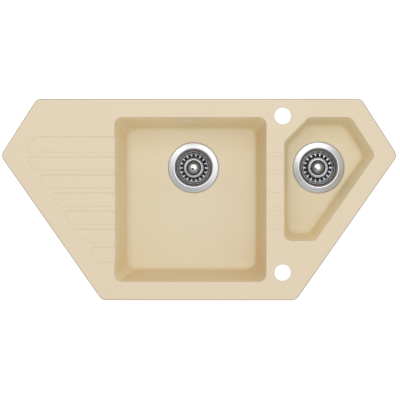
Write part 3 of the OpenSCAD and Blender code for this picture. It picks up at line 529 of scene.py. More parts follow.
TREE_BUILDERS: dict[Tree, Callable[[], bpy.types.NodeTree]] = {
    Tree.GRAIN: grain_tree,
    Tree.MOTTLE: mottle_tree,
    Tree.TURNED: turned_tree,
    Tree.SCUFFS: scuffs_tree,
    Tree.THREAD: thread_tree,
    Tree.HOSE: hose_tree,
    Tree.BEAD: bead_tree,
    Tree.BARS: bars_tree,
}


def shared(tree: Tree) -> bpy.types.NodeTree:
    """Gives a node tree and builds it the first time."""
    return bpy.data.node_groups.get(tree.value) or TREE_BUILDERS[tree]()


# Finishes


class Surface(Wires):
    """The wires of one material, round its Principled node.

    Attributes:
        shader: The Principled node.
        place: Object coordinates.
        normal: The normal in the object's axes.
    """

    def __init__(self, material: bpy.types.Material) -> None:
        """Sets up the Principled node and the coordinates.

        Args:
            material: The material, whose tree is empty.
        """
        super().__init__(material.node_tree)
        self.shader = self.add("ShaderNodeBsdfPrincipled")
        self.add("ShaderNodeOutputMaterial", {"Surface": self.shader.outputs[0]})
        coordinates = self.add("ShaderNodeTexCoord").outputs
        self.place, self.normal = coordinates["Object"], coordinates["Normal"]

    def group(self, tree: Tree, **values: Value) -> bpy.types.NodeOutputs:
        """Places a shared shader group on the surface.

        Args:
            tree: The group.
            **values: Values or sockets by input name.

        Returns:
            The group's outputs.
        """
        inputs = {"Vector": self.place, **values}
        return self.add("ShaderNodeGroup", inputs, node_tree=shared(tree)).outputs

    def paint(self, values: dict[str, Value]) -> None:
        """Sets or links inputs of the Principled node by name."""
        for name, value in values.items():
            self.join(value, self.shader.inputs[name])

    def bump(self, height: Socket, strength: float, depth: float) -> None:
        """Feeds a height through a Bump node into the shader's normal.

        Args:
            height: The height's socket.
            strength: The Bump node's strength.
            depth: The height's distance in metres.
        """
        inputs = {"Strength": strength, "Distance": depth, "Height": height}
        self.paint({"Normal": self.add("ShaderNodeBump", inputs).outputs[0]})


def srgb(red: int, green: int, blue: int) -> Colour:
    """Turns an 8-bit display colour into a linear one.

    Args:
        red: Red, 0 to 255.
        green: Green, 0 to 255.
        blue: Blue, 0 to 255.

    Returns:
        The linear colour with alpha 1.
    """

    def linear(level: int) -> float:
        """Turns one display level into a linear share."""
        share = level / 255
        return share / 12.92 if share <= 0.04045 else ((share + 0.055) / 1.055) ** 2.4

    return linear(red), linear(green), linear(blue), 1.0


def shaded(colour: Colour, share: float) -> Colour:
    """Gives a colour's tone at a share of its brightness."""
    return tuple(level * share for level in colour[:3]) + (1.0,)


def new_material(name: str) -> bpy.types.Material:
    """Makes a material with an empty node tree.

    Args:
        name: The material's name.

    Returns:
        The material.
    """
    made = bpy.data.materials.new(name)
    made.use_nodes = True
    made.node_tree.nodes.clear()
    return made


@dataclass(frozen=True)
class Finish:
    """A procedural material. Its subclasses say what the surface is.

    Attributes:
        name: The material's name.
        colour: The linear base colour.
        roughness: The roughness in the middle of its range.
    """

    name: str
    colour: Colour
    roughness: float

    def material(self) -> bpy.types.Material:
        """Gives the finish's material and builds it the first time.

        Returns:
            The material.
        """
        made = bpy.data.materials.get(self.name)
        if made is None:
            made = new_material(self.name)
            made.diffuse_color = self.colour
            self.dress(Surface(made))
        return made

    def dress(self, surface: Surface) -> None:
        """Builds the nodes that feed the surface's shader."""
        raise NotImplementedError


@dataclass(frozen=True)
class Composite(Finish):
    """Stone composite: quartz sand in resin, cast and left matt, with a fine even grain.

    Attributes:
        shade: Colour that the faint clouds go towards.
        painted_floor_light: Colour of the bowls' floors, paler than the deck: painted light.
        painted_rear_floor_light: Colour of the floors at the rear, paler still: painted light that cancels the
            shade by the rear wall.
        steep_wall_light: Colour of the sloped walls, paler and warmer than the deck: painted bounce light.
        painted_wall_shade: Colour of the main bowl's right and front walls, darker and warmer: painted shade.
        crease_shade: Colour of the small slopes on the deck, darker: painted shade in the folds.
        edge: Colour of the rounding along the deck's outer edge and, weaker, the tap holes' edges: a dark line of
            painted shade.
        chamfer_light: Colour of the chamfer where the drainer runs into the main bowl, paler: painted light that
            cancels its shade.
        ground: Colour of the ring round a tap hole, which is ground flat and greyer.
        level_up: Upward share of the normal between which a slope becomes level.
        deck_z: Heights between which a slope comes to belong to the deck.
        floor_z: Heights between which a floor gives way to the deck.
        floor_up: Upward share of the normal between which a face becomes a floor.
        wall_shade_way: The way that the walls with painted shade face.
        wall_shade_share: How far a wall faces that way before its painted shade begins, and where it is full.
        main_x: Where the main bowl's walls with painted shade end, along X.
        round_up: Upward share of the normal between which the edge's rounding begins.
        round_end: Upward share of the normal between which it ends in the deck.
        spill_x: Where the chamfer of the drainer ends, along X.
        spill_right: Share of its normal to the right, between none and all of its colour.
        spill_up: The same for the upward share.
        rear_y: Where the floors change to their paler painted rear light, along Y.
        ring: Inner and outer radius of the ring round a tap hole.
        ring_share: Strength of the ring's colour at the hole.
        gloss: Strength of the mirror reflection.
        grain_bump: Strength of the grain's relief.
        grain_depth: Its depth in metres.
    """

    shade: Colour
    painted_floor_light: Colour
    painted_rear_floor_light: Colour
    steep_wall_light: Colour
    painted_wall_shade: Colour
    crease_shade: Colour
    edge: Colour
    chamfer_light: Colour
    ground: Colour
    level_up: Span = (0.15, 0.96)
    deck_z: Span = (6.6 * MM, 7.2 * MM)
    floor_z: Span = (-0.1, -0.03)
    floor_up: Span = (0.0, 0.3)
    wall_shade_way: tuple[float, float, float] = (-0.8, 0.5, 0.0)
    wall_shade_share: Span = (0.1, 0.8)
    main_x: Span = (0.15, 0.18)
    round_up: Span = (0.1, 0.5)
    round_end: Span = (0.75, 0.99)
    spill_x: Span = (-0.17, -0.16)
    spill_right: Span = (0.55, 0.66)
    spill_up: Span = (0.6, 0.66)
    rear_y: Span = (0.04, 0.17)
    ring: Span = (17.5 * MM, 22.5 * MM)
    ring_share: float = 0.45
    gloss: float = 0.14
    grain_bump: float = 0.16
    grain_depth: float = 0.12 * MM

    def dress(self, surface: Surface) -> None:
        """Builds the colours of deck, walls, floors and edges, with painted light and painted shade among them,
        faint clouds and a matt grain.

        Args:
            surface: The material's surface.
        """
        x, y, z = surface.parts(surface.place)
        right, _, up = surface.parts(surface.normal)
        level = surface.math("ABSOLUTE", up)
        # Painted shade on the main bowl's walls that face -X and +Y
        facing = surface.vector_math("DOT_PRODUCT", surface.normal, self.wall_shade_way)
        wall_shade_mask = surface.times(
            surface.span(facing.outputs["Value"], *self.wall_shade_share),
            surface.fall(x, *self.main_x),
        )
        deck = surface.span(z, *self.deck_z)
        # Sloped walls get painted bounce light, and small slopes on the deck get painted shade
        slope = surface.mix(deck, surface.mix(wall_shade_mask, self.steep_wall_light, self.painted_wall_shade), self.crease_shade)
        floor = surface.times(surface.fall(z, *self.floor_z), surface.span(up, *self.floor_up))
        # Floors get painted light, paler still at the rear
        painted_floor_light = surface.mix(surface.span(y, *self.rear_y), self.painted_floor_light, self.painted_rear_floor_light)
        flat = surface.mix(floor, self.colour, painted_floor_light)
        skin = surface.mix(surface.fall(level, *self.level_up), flat, slope)
        # Painted shade line on the rounding of the outer edge and the tap holes' edges
        rim = surface.add("ShaderNodeAttribute", attribute_name="rim").outputs["Fac"]
        rounding = surface.times(
            surface.fall(level, *self.round_end), surface.span(level, *self.round_up)
        )
        skin = surface.mix(surface.times(rim, rounding), skin, self.edge)
        # Painted light on the chamfer where the drainer runs into the main bowl
        chamfer = surface.times(
            surface.span(right, *self.spill_right), surface.span(up, *self.spill_up)
        )
        drainer = surface.fall(x, *self.spill_x)
        skin = surface.mix(surface.times(chamfer, drainer), skin, self.chamfer_light)
        plan = surface.vector_math("MULTIPLY", surface.place, (1.0, 1.0, 0.0)).outputs[0]
        for hole in TAP_HOLES:
            away = surface.vector_math("DISTANCE", plan, (*hole, 0.0)).outputs["Value"]
            ring = surface.span(away, *self.ring, self.ring_share, 0.0)
            skin = surface.mix(surface.times(ring, deck), skin, self.ground)
        clouds = surface.group(Tree.MOTTLE, Colour=skin, Tint=self.shade, Scale=7.0, Amount=0.06)
        grain = surface.group(Tree.GRAIN, Colour=clouds["Colour"], Scale=1500.0, Contrast=0.05)
        rough = surface.span(clouds["Mask"], 0.0, 1.0, self.roughness - 0.03, self.roughness + 0.05)
        surface.paint(
            {"Base Color": grain["Colour"], "Roughness": rough, "Specular IOR Level": self.gloss}
        )
        surface.bump(grain["Height"], self.grain_bump, self.grain_depth)


@dataclass(frozen=True)
class TurnedSteel(Finish):
    """Stainless steel brushed in rings round a drain.

    Attributes:
        centre: A point on the axis of the rings.
        rings: Rings in a metre.
        depth: Depth of a ring in metres.
        wall_matt_and_light: How much rougher the press left the sloped walls, and how much paler they are painted:
            painted light.
    """

    centre: tuple[float, float, float]
    rings: float = 2600.0
    depth: float = 0.02 * MM
    wall_matt_and_light: float = 0.0

    def dress(self, surface: Surface) -> None:
        """Builds the rings, their duller bands, some scuffs, and sloped walls that are matt and painted paler:
        painted light.

        Args:
            surface: The material's surface.
        """
        turned = surface.group(Tree.TURNED, Centre=self.centre, Rings=self.rings)
        scuffs = surface.group(Tree.SCUFFS, Scale=90.0)
        dull = surface.plus(turned["Mask"], surface.times(scuffs["Mask"], 0.5))
        rough = surface.span(dull, 0.0, 1.5, self.roughness - 0.05, self.roughness + 0.09)
        level = surface.math("ABSOLUTE", surface.parts(surface.normal)[2])
        steep_wall_light = surface.fall(level, 0.5, 0.9)
        face = surface.mix(surface.times(dull, 0.6), self.colour, shaded(self.colour, 0.9))
        # Sloped walls are painted paler as painted light, and made rougher
        skin = surface.mix(steep_wall_light, face, shaded(self.colour, 1 + 1.6 * self.wall_matt_and_light))
        rough = surface.plus(rough, surface.times(steep_wall_light, self.wall_matt_and_light))
        surface.paint({"Base Color": skin, "Roughness": rough, "Metallic": 1.0})
        surface.bump(turned["Height"], 0.35, self.depth)


@dataclass(frozen=True)
class ShadedFlankKnob(TurnedSteel):
    """A spun steel knob: a bright polished crown, and a darker, bluer dome side that is painted shade.

    Attributes:
        flank_shade: Colour of the dome's side, darker and bluer than the crown: painted shade.
        crown_r: Radius at which the crown ends.
        flank_r: Radius at which the painted shade has its full colour.
        lip_r: Radius at which the lip begins, where the painted shade ends and the crown's colour returns.
    """

    flank_shade: Colour = (0.24, 0.255, 0.28, 1)
    crown_r: float = 6.6 * MM
    flank_r: float = 8.5 * MM
    lip_r: float = 17.3 * MM

    def dress(self, surface: Surface) -> None:
        """Builds the rings and the painted shade from the crown to the dome's side.

        Args:
            surface: The material's surface.
        """
        turned = surface.group(Tree.TURNED, Centre=self.centre, Rings=self.rings)
        share = surface.times(
            surface.span(turned["Radius"], self.crown_r, self.flank_r),
            surface.fall(turned["Radius"], self.lip_r, self.lip_r + 0.4 * MM),
        )
        # Painted shade on the dome's side, bluer to cancel the warm walls it reflects
        tone = surface.mix(share, self.colour, self.flank_shade)
        skin = surface.mix(surface.times(turned["Mask"], 0.3), tone, self.flank_shade)
        rough = surface.span(turned["Mask"], 0.0, 1.0, self.roughness, self.roughness + 0.06)
        surface.paint({"Base Color": skin, "Roughness": rough, "Metallic": 1.0})
        surface.bump(turned["Height"], 0.3, self.depth)


@dataclass(frozen=True)
class SmoothMetal(Finish):
    """Polished, plated or turned metal with fine scuffs and a slow change of tone.

    Attributes:
        tint: Colour that its clouds go towards.
        clouds: Strength of the clouds.
        pitted: How much its skin is pitted, 0 on polished steel.
    """

    tint: Colour
    clouds: float
    pitted: float = 0.0

    def dress(self, surface: Surface) -> None:
        """Builds clouds, scuffs and, on plated pieces, a finely pitted skin.

        Args:
            surface: The material's surface.
        """
        mottle = surface.group(
            Tree.MOTTLE, Colour=self.colour, Tint=self.tint, Scale=42.0, Amount=self.clouds
        )
        scuffs = surface.group(Tree.SCUFFS, Scale=120.0)
        grain = surface.group(
            Tree.GRAIN, Colour=mottle["Colour"], Scale=1300.0, Contrast=0.05 + self.pitted
        )
        dull = surface.plus(scuffs["Mask"], mottle["Mask"])
        rough = surface.span(dull, 0.0, 2.0, self.roughness, self.roughness + 0.12)
        surface.paint({"Base Color": grain["Colour"], "Roughness": rough, "Metallic": 1.0})
        height = surface.plus(surface.times(grain["Height"], self.pitted), scuffs["Height"])
        surface.bump(height, 0.2, 0.03 * MM)


@dataclass(frozen=True)
class Moulded(Finish):
    """Injection-moulded plastic with a satin skin.

    Attributes:
        tint: Colour that its clouds go towards.
    """

    tint: Colour

    def dress(self, surface: Surface) -> None:
        """Builds slow clouds, a faint eroded skin and handling scuffs.

        Args:
            surface: The material's surface.
        """
        mottle = surface.group(
            Tree.MOTTLE, Colour=self.colour, Tint=self.tint, Scale=16.0, Amount=0.12
        )
        grain = surface.group(Tree.GRAIN, Colour=mottle["Colour"], Scale=700.0, Contrast=0.02)
        scuffs = surface.group(Tree.SCUFFS, Scale=55.0)
        dull = surface.plus(scuffs["Mask"], mottle["Mask"])
        rough = surface.span(dull, 0.0, 2.0, self.roughness, self.roughness + 0.2)
        surface.paint({"Base Color": grain["Colour"], "Roughness": rough})
        surface.bump(grain["Height"], 0.25, 0.06 * MM)


@dataclass(frozen=True)
class Elastic(Finish):
    """Rubber or foam, with a dusty bloom and a grain or open cells.

    Attributes:
        bloom: Colour of the bloom.
        cells: Scale of the grain or cells.
        depth: Depth of the grain or cells in metres.
    """

    bloom: Colour
    cells: float
    depth: float = 0.08 * MM

    def dress(self, surface: Surface) -> None:
        """Builds the bloom and the grain or cells.

        Args:
            surface: The material's surface.
        """
        mottle = surface.group(
            Tree.MOTTLE, Colour=self.colour, Tint=self.bloom, Scale=60.0, Amount=0.5
        )
        grain = surface.group(Tree.GRAIN, Colour=mottle["Colour"], Scale=self.cells, Contrast=0.2)
        dustier = min(1.0, self.roughness + 0.15)
        rough = surface.span(mottle["Mask"], 0.0, 1.0, self.roughness, dustier)
        surface.paint(
            {"Base Color": grain["Colour"], "Roughness": rough, "Specular IOR Level": 0.3}
        )
        surface.bump(grain["Height"], 0.5, self.depth)


COMPOSITE = Composite(
    "composite_beige_painted_light_and_shade",
    colour=(0.85, 0.72, 0.53, 1),
    roughness=0.5,
    shade=(0.8, 0.69, 0.5, 1),
    # Floors, sloped walls and the chamfer: painted light; two main bowl walls, deck slopes and edges: painted
    # shade
    painted_floor_light=(0.91, 0.84, 0.685, 1),
    painted_rear_floor_light=(0.98, 0.91, 0.735, 1),
    steep_wall_light=(0.93, 0.81, 0.555, 1),
    painted_wall_shade=(0.8, 0.64, 0.4, 1),
    crease_shade=(0.6, 0.51, 0.37, 1),
    edge=(0.27, 0.25, 0.23, 1),
    chamfer_light=(0.92, 0.8, 0.63, 1),
    ground=(0.74, 0.74, 0.7, 1),
)
PLATED = SmoothMetal("zinc_plate", (0.52, 0.53, 0.55, 1), 0.32, (0.34, 0.34, 0.36, 1), 0.5, 0.3)
POLISHED = SmoothMetal("polished_steel", (0.6, 0.6, 0.61, 1), 0.12, (0.5, 0.5, 0.5, 1), 0.2)
BRASS = SmoothMetal("turned_brass", (0.62, 0.44, 0.2, 1), 0.28, (0.4, 0.27, 0.12, 1), 0.4)
WHITE_PLASTIC = Moulded("white_moulding", srgb(236, 235, 230), 0.36, srgb(214, 211, 200))
GREY_PLASTIC = Moulded("grey_moulding", srgb(122, 124, 127), 0.42, srgb(96, 98, 100))
RUBBER = Elastic("black_rubber", (0.022, 0.022, 0.023, 1), 0.6, (0.07, 0.07, 0.07, 1), 700.0)
FOAM = Elastic("grey_foam", srgb(84, 84, 82), 0.85, srgb(108, 108, 104), 420.0, 0.4 * MM)


# Shapes


def on_circle(radius: float, turn: float) -> Point:
    """Gives a point on a circle round the origin, at an angle in radians."""
    return radius * math.cos(turn), radius * math.sin(turn)


def rounded(outline: Sequence[Point], radius: float, steps: int = 3) -> list[Point]:
    """Rounds the corners of a closed outline.

    Args:
        outline: The corners.
        radius: Distance from a corner at which its rounding starts, less on short sides.
        steps: Number of segments for each corner.

    Returns:
        The rounded outline.
    """
    found: list[Point] = []
    count = len(outline)
    for i, corner in enumerate(outline):
        here = Vector(corner)
        before, after = Vector(outline[i - 1]), Vector(outline[(i + 1) % count])
        if here.x < 1e-7:
            found.append((0.0, here.y))
            continue
        start = here + (before - here).normalized() * min(radius, (before - here).length * 0.45)
        end = here + (after - here).normalized() * min(radius, (after - here).length * 0.45)
        for k in range(steps + 1):
            t = k / steps
            spot = start * (1 - t) ** 2 + here * 2 * t * (1 - t) + end * t**2
            found.append((spot.x, spot.y))
    return found


def add_object(name: str, data: Optional[bpy.types.ID]) -> Thing:
    """Puts a new object into the scene, at the origin.

    Args:
        name: The object's name.
        data: Its mesh, light or camera.

    Returns:
        The object.
    """
    made = bpy.data.objects.new(name, data)
    bpy.context.scene.collection.objects.link(made)
    return made


def as_mesh(shape: Shape, name: str) -> bpy.types.Mesh:
    """Turns a shape into a mesh.

    Args:
        shape: The shape, which is freed.
        name: The mesh's name.

    Returns:
        The mesh.
    """
    mesh = bpy.data.meshes.new(name)
    shape.to_mesh(mesh)
    shape.free()
    return mesh


def smoothed(shape: Shape) -> None:
    """Turns a closed shape's faces outwards and shades them smooth."""
    bmesh.ops.recalc_face_normals(shape, faces=shape.faces)
    for face in shape.faces:
        face.smooth = True


def finish_mesh(shape: Shape, name: str, finish: Finish, sharp: float) -> Thing:
    """Turns a closed shape into a smooth-shaded object at the origin.

    Args:
        shape: The shape, which is freed.
        name: The object's name.
        finish: Its finish.
        sharp: Edges steeper than this many degrees stay sharp.

    Returns:
        The object.
    """
    smoothed(shape)
    mesh = as_mesh(shape, name)
    mesh.set_sharp_from_angle(angle=math.radians(sharp))
    mesh.materials.append(finish.material())
    return add_object(name, mesh)


def lathe(outline: Sequence[Point], centre: Vector, segments: int) -> Shape:
    """Turns a closed outline round the vertical line through a centre.

    Args:
        outline: Radius and height of each corner, from the centre.
        centre: Where the outline's origin goes.
        segments: Number of steps round the axis.

    Returns:
        The closed shape.
    """
    shape = bmesh.new()
    rings: list[list[bmesh.types.BMVert]] = []
    for radius, height in outline:
        steps = segments if radius > 1e-7 else 1
        spots = [on_circle(radius, 2 * math.pi * k / segments) for k in range(steps)]
        rings.append([shape.verts.new(centre + Vector((x, y, height))) for x, y in spots])
    for i, ring in enumerate(rings):
        other = rings[(i + 1) % len(rings)]
        if len(ring) == 1 and len(other) == 1:
            continue
        for k in range(segments):
            n = (k + 1) % segments
            corners = [
                ring[k % len(ring)],
                ring[n % len(ring)],
                other[n % len(other)],
                other[k % len(other)],
            ]
            shape.faces.new(list(dict.fromkeys(corners)))
    return shape


def add_prism(
    shape: Shape, outline: Sequence[Point], low: float, high: float, place: Matrix
) -> None:
    """Adds an upright prism to a shape.

    Args:
        shape: The shape.
        outline: The prism's corners in the plane.
        low: Height of its foot.
        high: Height of its top.
        place: Where it goes.
    """
    foot, top = (
        [shape.verts.new(place @ Vector((x, y, height))) for x, y in outline]
        for height in (low, high)
    )
    shape.faces.new(foot)
    shape.faces.new(top)
    for i in range(len(outline)):
        j = (i + 1) % len(outline)
        shape.faces.new((foot[i], foot[j], top[j], top[i]))


def as_plain_mesh(thing: Thing) -> None:
    """Replaces an object's mesh by what its modifiers make of it, and removes the modifiers.

    Args:
        thing: The object.
    """
    graph = bpy.context.evaluated_depsgraph_get()
    result = bpy.data.meshes.new_from_object(thing.evaluated_get(graph), depsgraph=graph)
    thing.modifiers.clear()
    old = thing.data
    thing.data = result
    bpy.data.meshes.remove(old)


def cut(thing: Thing, cutters: Shape) -> None:
    """Cuts shapes out of an object for good.

    Args:
        thing: The object, whose finish is kept.
        cutters: Closed shapes that don't touch each other, which are freed.
    """
    bmesh.ops.recalc_face_normals(cutters, faces=cutters.faces)
    mesh = as_mesh(cutters, "cutter_of_" + thing.name)
    modifier = thing.modifiers.new("cut", "BOOLEAN")
    modifier.operation = "DIFFERENCE"
    modifier.solver = "EXACT"
    modifier.object = add_object(mesh.name, mesh)
    tool = modifier.object
    as_plain_mesh(thing)
    bpy.data.objects.remove(tool)
    bpy.data.meshes.remove(mesh)


def soften(thing: Thing, width: float, angle: float, segments: int = 2) -> None:
    """Rounds an object's sharp edges a little and shades it by its larger faces.

    Args:
        thing: The object.
        width: Width of the rounding.
        angle: Edges steeper than this many degrees are rounded.
        segments: Segments of the rounding.
    """
    bevel = thing.modifiers.new("edge_rounding", "BEVEL")
    bevel.width = width
    bevel.segments = segments
    bevel.limit_method = "ANGLE"
    bevel.angle_limit = math.radians(angle)
    bevel.use_clamp_overlap = True
    bevel.miter_outer = "MITER_ARC"
    weighted = thing.modifiers.new("weighted_normals", "WEIGHTED_NORMAL")
    weighted.keep_sharp = True
    weighted.weight = 60
    as_plain_mesh(thing)


def grown(
    name: str,
    tree: Tree,
    finish: Finish,
    points: Sequence[Vector],
    values: dict[str, object],
    turns: Sequence[Vector] = (),
    sharp: float = 40.0,
) -> Thing:
    """Runs a geometry node tree on points or a path and keeps its result as a plain mesh.

    Args:
        name: The new object's name.
        tree: The tree.
        finish: The object's finish.
        points: Places of the instances, or the points of the path.
        values: Values by input name.
        turns: Turn of each instance as Euler angles. Without turns the points are a path.
        sharp: Edges steeper than this many degrees stay sharp.

    Returns:
        The object.
    """
    mesh = bpy.data.meshes.new(name)
    edges = [] if turns else [(i, i + 1) for i in range(len(points) - 1)]
    mesh.from_pydata([tuple(p) for p in points], edges, [])
    if turns:
        attribute = mesh.attributes.new("turn", "FLOAT_VECTOR", "POINT")
        for item, turn in zip(attribute.data, turns):
            item.vector = turn
    made = add_object(name, mesh)
    modifier = made.modifiers.new("grow", "NODES")
    modifier.node_group = shared(tree)
    values = {**values, "Material": finish.material()}
    for item in modifier.node_group.interface.items_tree:
        if item.in_out == "INPUT" and item.name in values:
            modifier[item.identifier] = values[item.name]
    as_plain_mesh(made)
    shape = bmesh.new()
    shape.from_mesh(made.data)
    bmesh.ops.remove_doubles(shape, verts=shape.verts, dist=1e-7)
    smoothed(shape)
    shape.to_mesh(made.data)
    shape.free()
    made.data.set_sharp_from_angle(angle=math.radians(sharp))
    return made


def place_piece(thing: Thing, body: str, replaced: Sequence[str] = ()) -> None:
    """Gives a finished piece its body and the nodes that it stands for.

    Args:
        thing: The piece.
        body: The CAD body that it moves with.
        replaced: CAD nodes that it replaces.
    """
    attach(thing, body)
    if replaced:
        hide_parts(*replaced)
    LOG.info("made %s on %s, %d faces", thing.name, body, len(thing.data.polygons))


def dress_nodes(finish: Finish, *names: str) -> None:
    """Gives CAD nodes their finish.

    Args:
        finish: The finish for all their material slots.
        *names: The nodes.
    """
    for name in names:
        node = FRAME["nodes"][name]
        if not node.material_slots:
            node.data.materials.append(finish.material())
        for slot in node.material_slots:
            slot.material = finish.material()
        LOG.info("dressed %s in %s", name, finish.name)


# Sub-assemblies


@dataclass
class Casting:
    """The sink itself, one casting, with its sealing strip.

    Attributes:
        edge: Width of the rounding on the casting's sharp edges.
        sharp: Edges steeper than this many degrees are rounded.
        rim_w: Width of the outer edge's rounding.
        hole_r: Radius out to which a tap hole's edge gets painted shade.
        hole_edge_shade: Strength of that painted shade at a tap hole, where the outer edge has 1.
    """

    edge: float = 0.5 * MM
    sharp: float = 34.0
    rim_w: float = 2.8 * MM
    hole_r: float = 19.2 * MM
    hole_edge_shade: float = 0.6

    def mark_edge_shade(self, mesh: bpy.types.Mesh) -> None:
        """Marks where the finish paints a dark shade line, the deck's outer edge and the tap holes', in the
        attribute that the finish reads.

        Args:
            mesh: The casting's mesh.
        """
        top = [v for v in mesh.vertices if v.co.z > 0.5 * MM]
        plan = [v.co.to_2d() for v in top]
        loop = [plan[i] for i in convex_hull_2d(plan)]
        sides = []
        for first, second in zip(loop, loop[1:] + loop[:1]):
            along = (second - first).normalized()
            sides.append((first, Vector((-along.y, along.x))))
        attribute = mesh.attributes.new("rim", "FLOAT", "POINT")
        for vertex, spot in zip(top, plan):
            inside = min(abs((spot - first).dot(across)) for first, across in sides)
            hole = min((spot - Vector(centre)).length for centre in TAP_HOLES)
            edge_shade_share = 1.0 if inside < self.rim_w else self.hole_edge_shade * (hole < self.hole_r)
            attribute.data[vertex.index].value = edge_shade_share

    def build(self) -> None:
        """Makes the casting's smooth copy and dresses the strip."""
        shape = bmesh.new()
        shape.from_mesh(FRAME["nodes"]["sink_body"].data)
        bmesh.ops.remove_doubles(shape, verts=shape.verts, dist=2e-6)
        bmesh.ops.dissolve_limit(
            shape, angle_limit=math.radians(0.3), verts=shape.verts, edges=shape.edges
        )
        casting = finish_mesh(shape, "sink_casting", COMPOSITE, self.sharp)
        soften(casting, self.edge, self.sharp)
        self.mark_edge_shade(casting.data)
        place_piece(casting, "sink", ["sink_body"])
        dress_nodes(FOAM, "rim_seal")


@dataclass
class BasketStrainer:
    """A basket strainer in one bowl: cup with its dished flange, basket, knob and waste body.

    Attributes:
        bowl: The bowl.
        flange_r: Outer radius of the flange.
        crest_r: Radius of the flange's crest on its underside.
        crest_z: Height of the crest over the bowl's floor.
        crown: Rise of the flange's face over the crest.
        edge_drop: Drop from the crest to the flange's edge.
        face_slope: Fall of the flange's face for each metre outwards.
        lip_slope: Fall of the flange's inner lip for each metre inwards.
        throat_r: Radius of the cup at its throat.
        cup_depth: Depth of the cup.
        sheet: Thickness of the cup's sheet.
        foot_holes: Number of holes in the cup's foot.
        foot_hole_r: Radius of such a hole.
        foot_ring_r: Radius of the ring that they lie on.
        basket_sheet: Thickness of the basket's sheet.
        floor_z: Height of the basket's floor.
        rim_z: Height of the basket's rolled rim.
        rim_r: Radius of the rim.
        bead_r: Radius of the rim's roll.
        stem_r: Radius of the hole for the stem.
        hub_r: Radius of the basket's raised hub.
        hub_h: Height of the hub.
        foot_r: Radius of the basket's foot.
        slots: Number of slots.
        slot_w: Width of a slot.
        slot_span: Radii between which a floor slot lies.
        knob_r: Radius of the knob's dome.
        dome_h: Height of the dome.
        dome_power: Power of the dome's outline, 2 for an ellipse.
    """

    bowl: Bowl
    flange_r: float = 57 * MM
    crest_r: float = 46.5 * MM
    crest_z: float = 0.2 * MM
    crown: float = 0.25 * MM
    edge_drop: float = 1.8 * MM
    face_slope: float = 0.13
    lip_slope: float = 0.1
    throat_r: float = 42 * MM
    cup_depth: float = 40 * MM
    sheet: float = 1 * MM
    foot_holes: int = 6
    foot_hole_r: float = 5.5 * MM
    foot_ring_r: float = 19 * MM
    basket_sheet: float = 0.8 * MM
    floor_z: float = -34 * MM
    rim_z: float = -12 * MM
    rim_r: float = 38.2 * MM
    bead_r: float = 1 * MM
    stem_r: float = 2.6 * MM
    hub_r: float = 22 * MM
    hub_h: float = 9 * MM
    foot_r: float = 34 * MM
    slots: int = 18
    slot_w: float = 3.4 * MM
    slot_span: Span = (25.2 * MM, 32 * MM)
    knob_r: float = 17 * MM
    dome_h: float = 10 * MM
    dome_power: float = 2.4

    def named(self, part: str) -> str:
        """Gives the name of one of the strainer's nodes."""
        return f"{self.bowl.value}_{part}"

    def turned(self, share: float) -> Matrix:
        """Gives the place of the drain, turned by a share of a full turn."""
        return Matrix.Translation(DRAINS[self.bowl]) @ Matrix.Rotation(2 * math.pi * share, 4, "Z")

    def cup(self, finish: Finish) -> None:
        """Makes the cup with its dished flange and the holes in its foot.

        Args:
            finish: The cup's finish.
        """
        t, s = self.throat_r, self.sheet
        low = -self.cup_depth
        edge_z = self.crest_z - self.edge_drop
        top_r, inner_r = t + 3.2 * MM, t + 2.2 * MM
        face = [
            (r, self.crest_z + self.crown - (r - inner_r) * self.face_slope)
            for r in (self.flange_r - 0.15 * MM, self.flange_r - 2 * MM, t + 4.6 * MM, top_r)
        ]
        lip = [
            (r, face[-1][1] - (top_r - r) * self.lip_slope)
            for r in (t + 2.7 * MM, t + 1.9 * MM, t + 1.1 * MM)
        ]
        inside: list[Point] = [
            (self.flange_r, edge_z - 0.3 * MM),
            *face,
            *lip,
            (t + 0.5 * MM, self.crest_z - 1.2 * MM),
            (t + 0.2 * MM, self.crest_z - 3 * MM),
            (t - 0.3 * MM, -6 * MM),
            (t - 2.6 * MM, -12.5 * MM),
            (t - 2.9 * MM, low + 9 * MM),
            (t - 4.4 * MM, low + 3.5 * MM),
            (t - 8 * MM, low),
            (0.0, low),
        ]
        outside: list[Point] = [
            (0.0, low - s),
            (t - 8 * MM, low - s),
            (t - 4 * MM + 0.8 * s, low + 3.5 * MM - 0.6 * s),
            (t - 2 * MM + s, low + 9 * MM),
            (t + s, -6.5 * MM),
            (t + 2.9 * MM, self.crest_z - 1.25 * MM),
            (self.crest_r, self.crest_z - s),
            (self.flange_r, edge_z - s),
        ]
        shape = lathe(rounded(inside + outside, 1.3 * MM, 4), DRAINS[self.bowl], 144)
        made = finish_mesh(shape, self.named("cup_shell"), finish, 40)
        hole = [on_circle(self.foot_hole_r, 2 * math.pi * i / 28) for i in range(28)]
        holes = bmesh.new()
        for k in range(self.foot_holes):
            place = self.turned(k / self.foot_holes) @ Matrix.Translation((self.foot_ring_r, 0, 0))
            add_prism(holes, hole, low - 3 * MM, low + 3 * MM, place)
        cut(made, holes)
        made.data.set_sharp_from_angle(angle=math.radians(40))
        place_piece(made, "sink", [self.named("strainer_cup")])

    def floor_slot(self) -> list[Point]:
        """Gives the outline of a floor slot with round ends.

        Returns:
            The outline, along +X.
        """
        half = self.slot_w / 2
        inner, outer = self.slot_span
        points: list[Point] = []
        for centre, start in ((outer - half, -90), (inner + half, 90)):
            for k in range(9):
                x, y = on_circle(half, math.radians(start + 180 * k / 8))
                points.append((centre + x, y))
        return points

